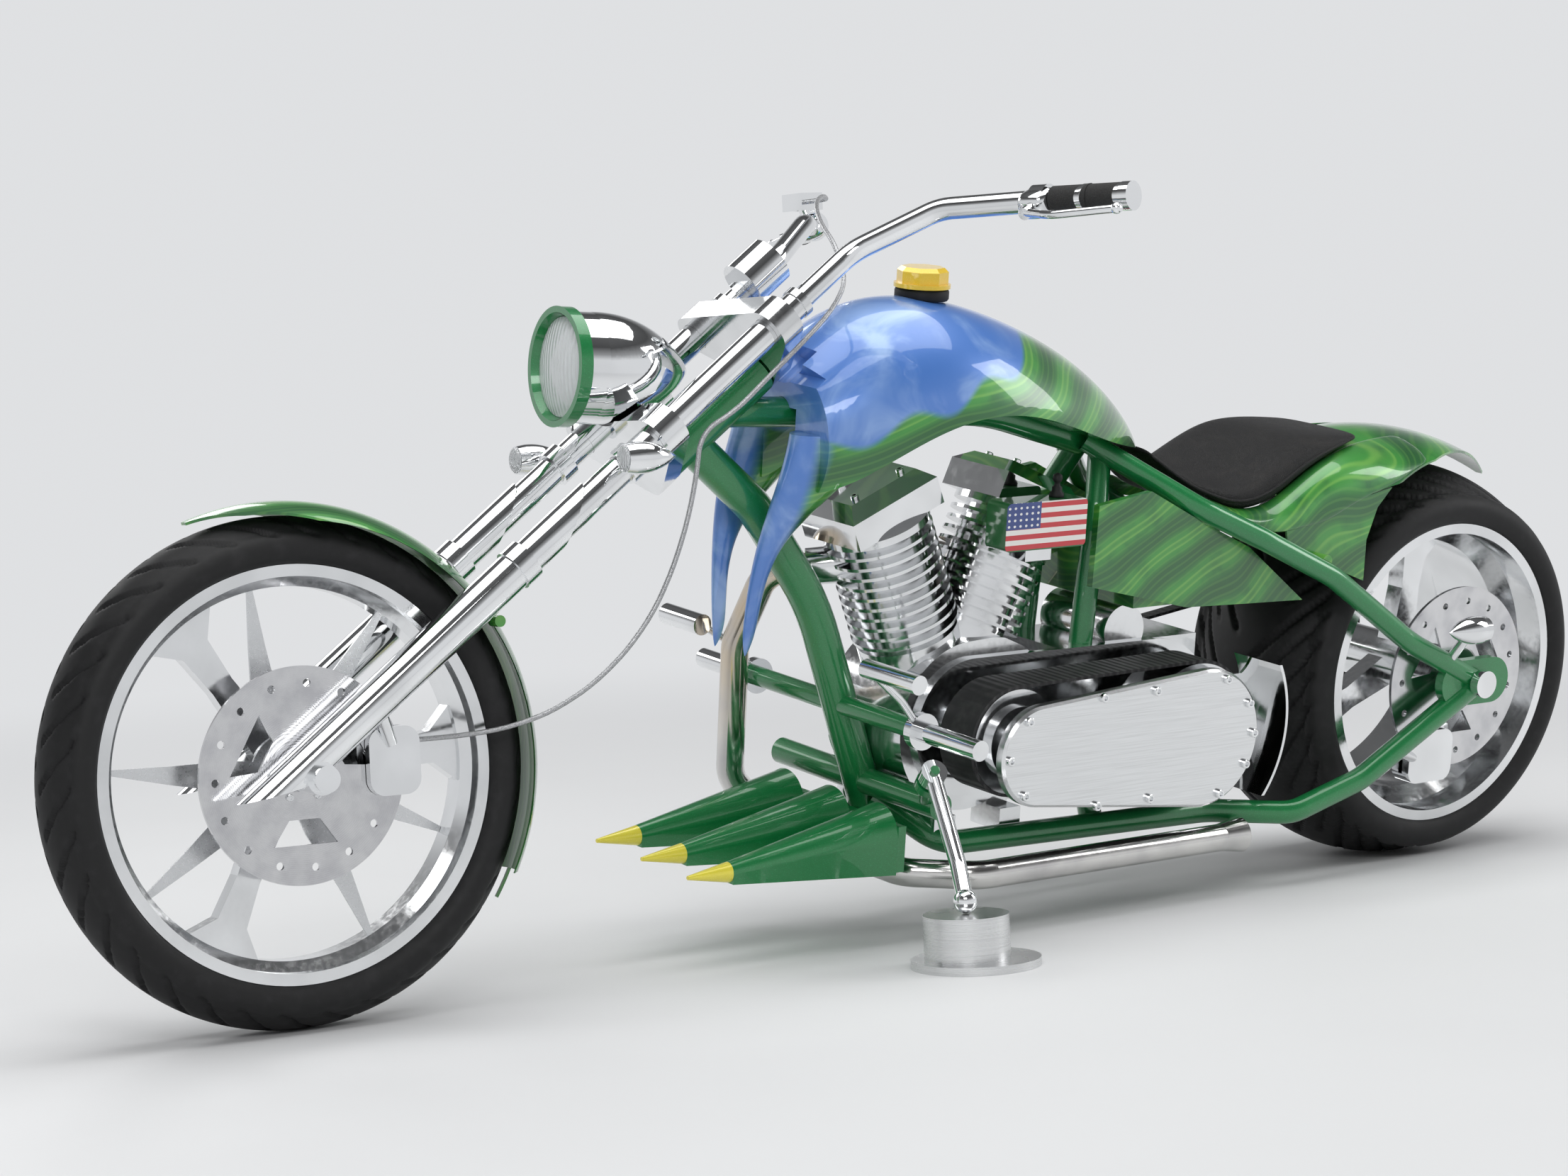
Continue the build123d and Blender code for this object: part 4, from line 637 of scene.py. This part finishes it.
# Rings up a screw's head: share of the radius and of the height; the last two are its hexagon socket
HEAD = ((1.0, 0.0), (1.0, 0.8), (0.88, 1.0), (0.56, 1.0), (0.52, 0.5))
HEAD_SIDES = 18
SOCKET_BELOW = 0.6


def screws(name, body, matrix, places, radius, height):
    """Socket-head screws.  places: (foot point, outward direction)."""
    mesh = bmesh.new()
    for foot, out in places:
        out = Vector(out).normalized()
        right = out.orthogonal().normalized()
        up = out.cross(right)
        rings = []
        for share, rise in HEAD:
            ring = []
            for k in range(HEAD_SIDES):
                a = math.tau * k / HEAD_SIDES
                r = radius * share
                if share < SOCKET_BELOW:
                    r *= math.cos(math.pi / 6) / math.cos((a % (math.pi / 3)) - math.pi / 6)
                level = Vector(foot) + right * (r * math.cos(a)) + up * (r * math.sin(a))
                ring.append(mesh.verts.new(level + out * (height * rise)))
            rings.append(ring)
        for a, b in zip(rings, rings[1:]):
            for k in range(HEAD_SIDES):
                after = (k + 1) % HEAD_SIDES
                mesh.faces.new((a[k], a[after], b[after], b[k]))
        mesh.faces.new(list(reversed(rings[0])))
        mesh.faces.new(rings[-1])
    bmesh.ops.recalc_face_normals(mesh, faces=mesh.faces)
    piece(name, mesh, matrix, body, CHROME, smooth=False)


# Screws: radius and height of the head
COVER_SCREW = (7.0, 6.0)
DISC_SCREW = (5.0, 4.0)
ROCKER_SCREW = (6.0, 6.0)

# Primary cover: x, z, radius and angles of the screws round its two ends, then the straight runs
COVER_FACE = 238.2
COVER_ARCS = ((930.0, 302.0, 64.0, (-60, 0, 60)), (604.0, 296.0, 94.0, (110, 150, 180, 210, 250)))
COVER_RUNS = [(x, z) for x in (715.0, 820.0) for z in (216.0, 380.0)]
cover_screws = []
for x, z, r, angles in COVER_ARCS:
    for a in map(math.radians, angles):
        cover_screws.append((Vector((x + r * math.cos(a), COVER_FACE, z + r * math.sin(a))), (0, 1, 0)))
cover_screws += [(Vector((x, COVER_FACE, z)), (0, 1, 0)) for x, z in COVER_RUNS]
screws("cover_screws", "chassis", CHASSIS, cover_screws, *COVER_SCREW)


def disc_screws(name, body, matrix, axle, y, ring):
    """Five screws that hold a brake disc to its hub."""
    places = []
    for k in range(5):
        a = math.radians(18 + 72 * k)
        places.append((axle + Vector((ring * math.cos(a), y, ring * math.sin(a))), (0, 1, 0)))
    screws(name, body, matrix, places, *DISC_SCREW)


disc_screws("front_disc_screws", "front_wheel", STEERING, FRONT_AXLE, y=63.2, ring=34.0)
disc_screws("rear_disc_screws", "rear_wheel", CHASSIS, REAR_AXLE, y=171.2, ring=40.0)

# Rocker boxes: four screws in each top, ROCKER_TOP from the crank along the cylinder
V_HALF = 22.8
CRANK = Vector((950.0, 0.0, 318.0))
ROCKER_TOP = 392.2
ROCKER_U = 44
ROCKER_V = 32
for name, s in (("front_rocker_screws", 1), ("rear_rocker_screws", -1)):
    away = Vector((s * math.sin(math.radians(V_HALF)), 0, math.cos(math.radians(V_HALF))))
    along = Vector((away.z, 0, -away.x))
    places = []
    for u in (-ROCKER_U, ROCKER_U):
        for v in (-ROCKER_V, ROCKER_V):
            places.append((CRANK + away * ROCKER_TOP + along * u + Vector((0, v, 0)), away))
    screws(name, "chassis", CHASSIS, places, *ROCKER_SCREW)


# Lamp lenses: clear domed discs on the ends of the bullets.  Lamps: along, across and ahead of the
# fork, and x, y, z at the rear
FORK_LAMP = (620.0, 167.0, 10.0)
REAR_LAMP = (60.0, 250.0, 418.0)
LAMP_REACH = 30.6
LENS_R = 18.5
LENS_RISE = 6.0
LENS_SIDES = 28
LENS_SHARES = (1.0, 0.98, 0.85, 0.6, 0.3, 0.05)


def dome(centre, aim, radius, height):
    """Rings of a shallow dome that stands on a disc."""
    aim = Vector(aim).normalized()
    right = aim.orthogonal().normalized()
    up = aim.cross(right)
    rings = []
    for share in LENS_SHARES:
        rise = height * math.sqrt(1 - share * share) if share < 1 else 0.0
        ring = []
        for k in range(LENS_SIDES):
            a = math.tau * k / LENS_SIDES
            ring.append(centre + aim * rise + (right * math.cos(a) + up * math.sin(a)) * radius * share)
        rings.append(ring)
    return rings


for name, s in SIDES:
    along, across, ahead = FORK_LAMP
    front = leg(along, s * across, ahead) + Vector((LAMP_REACH, 0, 0))
    mesh = ring_mesh(dome(front, (1, 0, 0), LENS_R, LENS_RISE), False)
    piece(f"fork_lens_{name}", mesh, STEERING, "steering", CLEAR)
    x, y, z = REAR_LAMP
    rear = Vector((x, s * y, z)) + Vector((-LAMP_REACH, 0, 0))
    mesh = ring_mesh(dome(rear, (-1, 0, 0), LENS_R, LENS_RISE), False)
    piece(f"rear_lens_{name}", mesh, CHASSIS, "chassis", CLEAR)


# Hand controls: rounded housing round each perch and a ball on the end of each lever
GRIP_FROM = Vector((1013.9, 337.2, 1067.9))
GRIP_RUN = Vector((-0.391, 0.920, -0.0153))
LEVER_LEAD = Vector((0.86, 0.36, -0.36)).normalized()
PERCH_BACK = 32
# Along the grip and along the lever's lead, from the perch
HOUSING_AT = (8, 8)
BALL_AT = (161, 48.5)
POD_HALF = (24.0, 25.0, 20.0)
BALL_HALF = (8.0, 8.0, 8.0)
POD_RINGS = 18
POD_SIDES = 32


def pod(centre, along, side, halves, power):
    """Closed rounded body: an ellipsoid at power 2, boxier above."""
    along = along.normalized()
    side = (side - along * side.dot(along)).normalized()
    up = along.cross(side)
    rings = []
    for k in range(1, POD_RINGS):
        t = -math.cos(math.pi * k / POD_RINGS)
        share = (1 - abs(t) ** power) ** (1 / power)
        ring = []
        for turn in range(POD_SIDES):
            a = math.tau * turn / POD_SIDES
            c = math.copysign(abs(math.cos(a)) ** (2 / power), math.cos(a))
            r = math.copysign(abs(math.sin(a)) ** (2 / power), math.sin(a))
            place = centre + along * (t * halves[0])
            ring.append(place + (side * (c * halves[1]) + up * (r * halves[2])) * share)
        rings.append(ring)
    return ring_mesh(rings, False)


for name, s in SIDES:
    flip = Matrix.Diagonal((1, s, 1))
    run = flip @ GRIP_RUN
    lead = flip @ LEVER_LEAD
    perch = flip @ GRIP_FROM - run * PERCH_BACK
    housing = pod(perch + run * HOUSING_AT[0] + lead * HOUSING_AT[1], run, lead, POD_HALF, 3.2)
    piece(f"control_housing_{name}", housing, STEERING, "steering", CHROME)
    ball = pod(perch + run * BALL_AT[0] + lead * BALL_AT[1], run, lead, BALL_HALF, 2.0)
    piece(f"lever_ball_{name}", ball, STEERING, "steering", CHROME)

# Saddle: rows of x, top, bottom, half width
SADDLE = [
    (172, 712, 705.5, 88),
    (205, 716, 699.5, 98),
    (260, 721, 684.5, 116),
    (315, 721, 663, 127),
    (355, 709, 642, 132),
    (400, 688, 615, 135),
    (440, 664, 609, 135),
    (475, 655, 609, 128),
    (510, 658, 626, 113),
    (540, 668, 643, 96),
    (568, 687, 669, 76),
    (590, 704, 693, 56),
    (597, 709, 701, 50),
]
SADDLE_POINTS = 32
# Share of the height at which the sides are widest, and how square side and crown are
EDGE_RISE = 0.42
SIDE_POWER = 0.55
CROWN_POWER = 0.7
PIPING_R = 3.4
PIPING_IN = 1.5
PIPING_SIDES = 10


def saddle_ring(x, top, bottom, half):
    """Crowned section: full at the middle, rolled in at the sides, flat below."""
    ring = []
    for k in range(SADDLE_POINTS):
        a = math.tau * k / SADDLE_POINTS
        c = math.copysign(abs(math.cos(a)) ** SIDE_POWER, math.cos(a))
        s = math.copysign(abs(math.sin(a)) ** CROWN_POWER, math.sin(a))
        middle = EDGE_RISE * top + (1 - EDGE_RISE) * bottom
        z = middle + s * ((top - middle) if s > 0 else (middle - bottom))
        ring.append(Vector((x, half * c, z)))
    return ring


saddle_mesh = ring_mesh([saddle_ring(*row) for row in SADDLE], False)
saddle = smoothed(piece("saddle", saddle_mesh, CHASSIS, "chassis", LEATHER))
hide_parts("seat")


def bead(points, radius):
    """Round bead along a row of points."""
    rings = []
    for k, point in enumerate(points):
        ahead = (points[min(k + 1, len(points) - 1)] - points[max(k - 1, 0)]).normalized()
        right = ahead.cross(Vector((0, 0, 1))).normalized()
        up = right.cross(ahead)
        ring = []
        for turn in range(PIPING_SIDES):
            a = math.tau * turn / PIPING_SIDES
            ring.append(point + (right * math.cos(a) + up * math.sin(a)) * radius)
        rings.append(ring)
    return ring_mesh(rings, False)


# Piping sewn along both edges of the saddle
for name, s in SIDES:
    edge = [
        Vector((x, s * (half - PIPING_IN), EDGE_RISE * top + (1 - EDGE_RISE) * bottom))
        for x, top, bottom, half in SADDLE[1:-1]
    ]
    piping = piece(f"saddle_piping_{name}", bead(edge, PIPING_R), CHASSIS, "chassis", LEATHER)
    smoothed(piping)

# Shoulders of the rear fender, from under the saddle's edge out and down to the skirt and the rail
ARCH_X = 97.0
ARCH_Z = 190.0
ARCH_R = 519.0
CROWN_R = 259.6
STRIP_HALF = 166.0
PAINT_GAP = 1.2
SHELL_T = 2.2
SHOULDER_STEPS = 14
# The bend's corner, inside the outer edge and below the inner one
BEND_IN = 2
BEND_DOWN = 4
# Rows: x, share of the lift off the arch, inner y, inner z, outer y, outer z (0: on the arch)
SHOULDER = [
    (60, 0.0, 62, 706, 134, 0),
    (100, 0.15, 68, 708, 146, 0),
    (140, 0.40, 76, 707, 158, 0),
    (172, 0.65, 82, 704, 165.5, 0),
    (205, 0.85, 91, 699, 166.5, 0),
    (260, 1.0, 108, 689, 167, 0),
    (315, 1.0, 118, 671, 167, 0),
    (355, 1.0, 123, 651, 167, 592),
    (400, 1.0, 126, 626, 168, 586),
    (440, 1.0, 126, 618, 168, 587),
    (475, 1.0, 119, 618, 159, 604),
    (505, 1.0, 108, 631, 150, 618),
    (530, 1.0, 96, 640, 143, 629),
]


def arch_top(x, y):
    """Height of the arched fender strip, just over its paint."""
    drop = CROWN_R - math.sqrt(CROWN_R**2 - y * y)
    return ARCH_Z + PAINT_GAP + math.sqrt((ARCH_R - drop) ** 2 - (x - ARCH_X) ** 2)


def shoulder_ring(side, x, share, inner_y, inner_z, outer_y, outer_z):
    """Closed thin section that runs outwards and then turns down."""
    foot = outer_z or arch_top(x, min(outer_y, STRIP_HALF))
    outside = []
    for k in range(SHOULDER_STEPS + 1):
        t = k / SHOULDER_STEPS
        y = (1 - t) ** 2 * inner_y + 2 * t * (1 - t) * (outer_y - BEND_IN) + t * t * outer_y
        z = (1 - t) ** 2 * inner_z + 2 * t * (1 - t) * (inner_z - BEND_DOWN) + t * t * foot
        outside.append((y, share * z + (1 - share) * arch_top(x, y)))
    inside = [(y - SHELL_T, z - SHELL_T) for y, z in reversed(outside)]
    return [Vector((x, side * y, z)) for y, z in outside + inside]


for name, s in SIDES:
    rings = [shoulder_ring(s, *row) for row in SHOULDER]
    mesh = ring_mesh(rings, False)
    shoulder = piece(f"fender_shoulder_{name}", mesh, CHASSIS, "chassis", FENDER_PAINT)
    smoothed(shoulder)

# Rubber ring between the fuel cap and the tank: radius and height of its section
CAP_X = 1014.0
GASKET_STEPS = 48
GASKET = ((33.0, 944.0), (38.0, 944.0), (40.0, 947.0), (40.0, 957.0), (38.0, 961.0), (33.0, 961.0))
gasket_rings = [
    [Vector((CAP_X + r * math.cos(a), r * math.sin(a), z)) for r, z in GASKET]
    for a in (math.tau * k / GASKET_STEPS for k in range(GASKET_STEPS))
]
gasket = piece("cap_gasket", ring_mesh(gasket_rings), CHASSIS, "chassis", TYRE)

# Key switch on top of the electrics box: radius and height of its turned steps
SWITCH_FOOT = Vector((832.0, 119.0, 659.6))
SWITCH_SIDES = 28
SWITCH_STEPS = (
    (11.0, 0.0), (11.5, 3.0), (10.0, 7.0), (7.5, 9.0), (7.5, 15.0), (5.0, 17.0),
    (4.0, 22.0), (6.5, 24.0), (7.5, 28.0), (6.5, 33.0), (2.0, 36.0),
)
switch_turns = [math.tau * k / SWITCH_SIDES for k in range(SWITCH_SIDES)]
switch_rings = [
    [SWITCH_FOOT + Vector((r * math.cos(a), r * math.sin(a), z)) for a in switch_turns]
    for r, z in SWITCH_STEPS
]
piece("key_switch", ring_mesh(switch_rings, False), CHASSIS, "chassis", TYRE)

# Studio floor, in metres; it turns into the background between the two distances
BACKGROUND = (0.74, 0.75, 0.765, 1)
FLOOR_HALF = 60.0
FLOOR_FADE = (1.6, 5.0)
floor_mesh = bmesh.new()
bmesh.ops.create_grid(floor_mesh, x_segments=4, y_segments=4, size=FLOOR_HALF)
floor_data = bpy.data.meshes.new("studio_floor")
floor_mesh.to_mesh(floor_data)
floor_mesh.free()
n = new_material("studio_floor")
far = n.add("ShaderNodeVectorMath", operation="LENGTH")
n.put(far.inputs[0], n.add("ShaderNodeNewGeometry").outputs["Position"])
away = n.math("MULTIPLY", n.ramp(far.outputs["Value"], *FLOOR_FADE), n.seen())
scuffs = n.ramp(n.noise(1.4, 4.0), 0.3, 0.8)
n.set(Base_Color=n.mix(scuffs, (0.70, 0.705, 0.71, 1), (0.685, 0.69, 0.695, 1)), Roughness=0.6)
glow = n.add("ShaderNodeEmission", Color=BACKGROUND)
n.blend(away, n.shader.outputs[0], glow.outputs[0], n.tree.nodes["Material Output"])
floor_data.materials.append(n.owner)
floor = bpy.data.objects.new("studio_floor", floor_data)
bpy.context.scene.collection.objects.link(floor)

# Soft boxes: place, aim, width, height, power
SOFT_BOXES = {
    "key": ((2.8, 3.6, 3.2), (0.2, 0.0, 0.5), 2.4, 1.4, 70.0),
    "top": ((0.0, 0.2, 4.4), (0.0, 0.0, 0.4), 6.0, 3.6, 165.0),
    "rear": ((-3.6, 1.8, 2.2), (-0.4, 0.0, 0.4), 1.4, 2.0, 40.0),
    "far": ((0.6, -4.0, 2.8), (0.0, 0.0, 0.5), 4.0, 1.4, 50.0),
}
for name, (place, aim, width, height, power) in SOFT_BOXES.items():
    data = bpy.data.lights.new(name, "AREA")
    data.shape = "RECTANGLE"
    data.size = width
    data.size_y = height
    data.energy = power
    light = bpy.data.objects.new(name, data)
    light.location = place
    light.rotation_euler = (Vector(aim) - Vector(place)).to_track_quat("-Z", "Y").to_euler()
    bpy.context.scene.collection.objects.link(light)

# Backdrop, the same for the camera, in metal and in glass: pale at eye level, dimmer overhead.
# Rows: height from straight down (0) to straight up (1), share of the background's brightness
BACKDROP = ((0.60, 1.0), (0.68, 0.42), (0.78, 0.10), (1.0, 0.22))
AMBIENT = 0.42
n = Nodes(bpy.data.worlds.new("studio"))
bpy.context.scene.world = n.owner
n.tree.nodes.clear()
shade = n.add("ShaderNodeValToRGB")
while len(shade.color_ramp.elements) < len(BACKDROP):
    shade.color_ramp.elements.new(0.5)
for element, (position, bright) in zip(shade.color_ramp.elements, BACKDROP):
    element.position = position
    element.color = tuple(bright * c for c in BACKGROUND[:3]) + (1,)
split = n.add("ShaderNodeSeparateXYZ")
n.put(split.inputs[0], n.add("ShaderNodeTexCoord").outputs["Generated"])
rise = n.math("MULTIPLY_ADD", split.outputs[2], 0.5)
rise.node.inputs[2].default_value = 0.5
n.put(shade.inputs[0], rise)
backdrop = n.add("ShaderNodeBackground", Color=shade.outputs[0])
ambient = n.add("ShaderNodeBackground", Color=BACKGROUND, Strength=AMBIENT)
n.blend(n.seen(), ambient.outputs[0], backdrop.outputs[0], n.add("ShaderNodeOutputWorld"))

# Camera: place over the floor under the rear axle, then yaw, pitch down and roll in degrees
CAMERA_PLACE = Vector((4.8495, 4.8475, 0.9508))
CAMERA_YAW = math.radians(37.165)
CAMERA_PITCH = math.radians(4.067)
CAMERA_ROLL = math.radians(-2.538)
FOCAL_LENGTH = 95.3
lens = bpy.data.cameras.new("camera")
lens.sensor_width = 36.0
lens.sensor_fit = "HORIZONTAL"
lens.lens = FOCAL_LENGTH
camera = bpy.data.objects.new("camera", lens)
bpy.context.scene.collection.objects.link(camera)
look = Vector(
    (
        -math.sin(CAMERA_YAW) * math.cos(CAMERA_PITCH),
        -math.cos(CAMERA_YAW) * math.cos(CAMERA_PITCH),
        -math.sin(CAMERA_PITCH),
    )
)
level = Vector((-math.cos(CAMERA_YAW), math.sin(CAMERA_YAW), 0))
upright = level.cross(look)
right = level * math.cos(CAMERA_ROLL) + upright * math.sin(CAMERA_ROLL)
above = upright * math.cos(CAMERA_ROLL) - level * math.sin(CAMERA_ROLL)
under_axle = CHASSIS @ Vector((0, 0, 0))
turn = Matrix((right, above, -look)).transposed().to_4x4()
camera.matrix_world = Matrix.Translation(CAMERA_PLACE + under_axle) @ turn
bpy.context.scene.camera = camera
bpy.context.scene.view_settings.view_transform = "Standard"
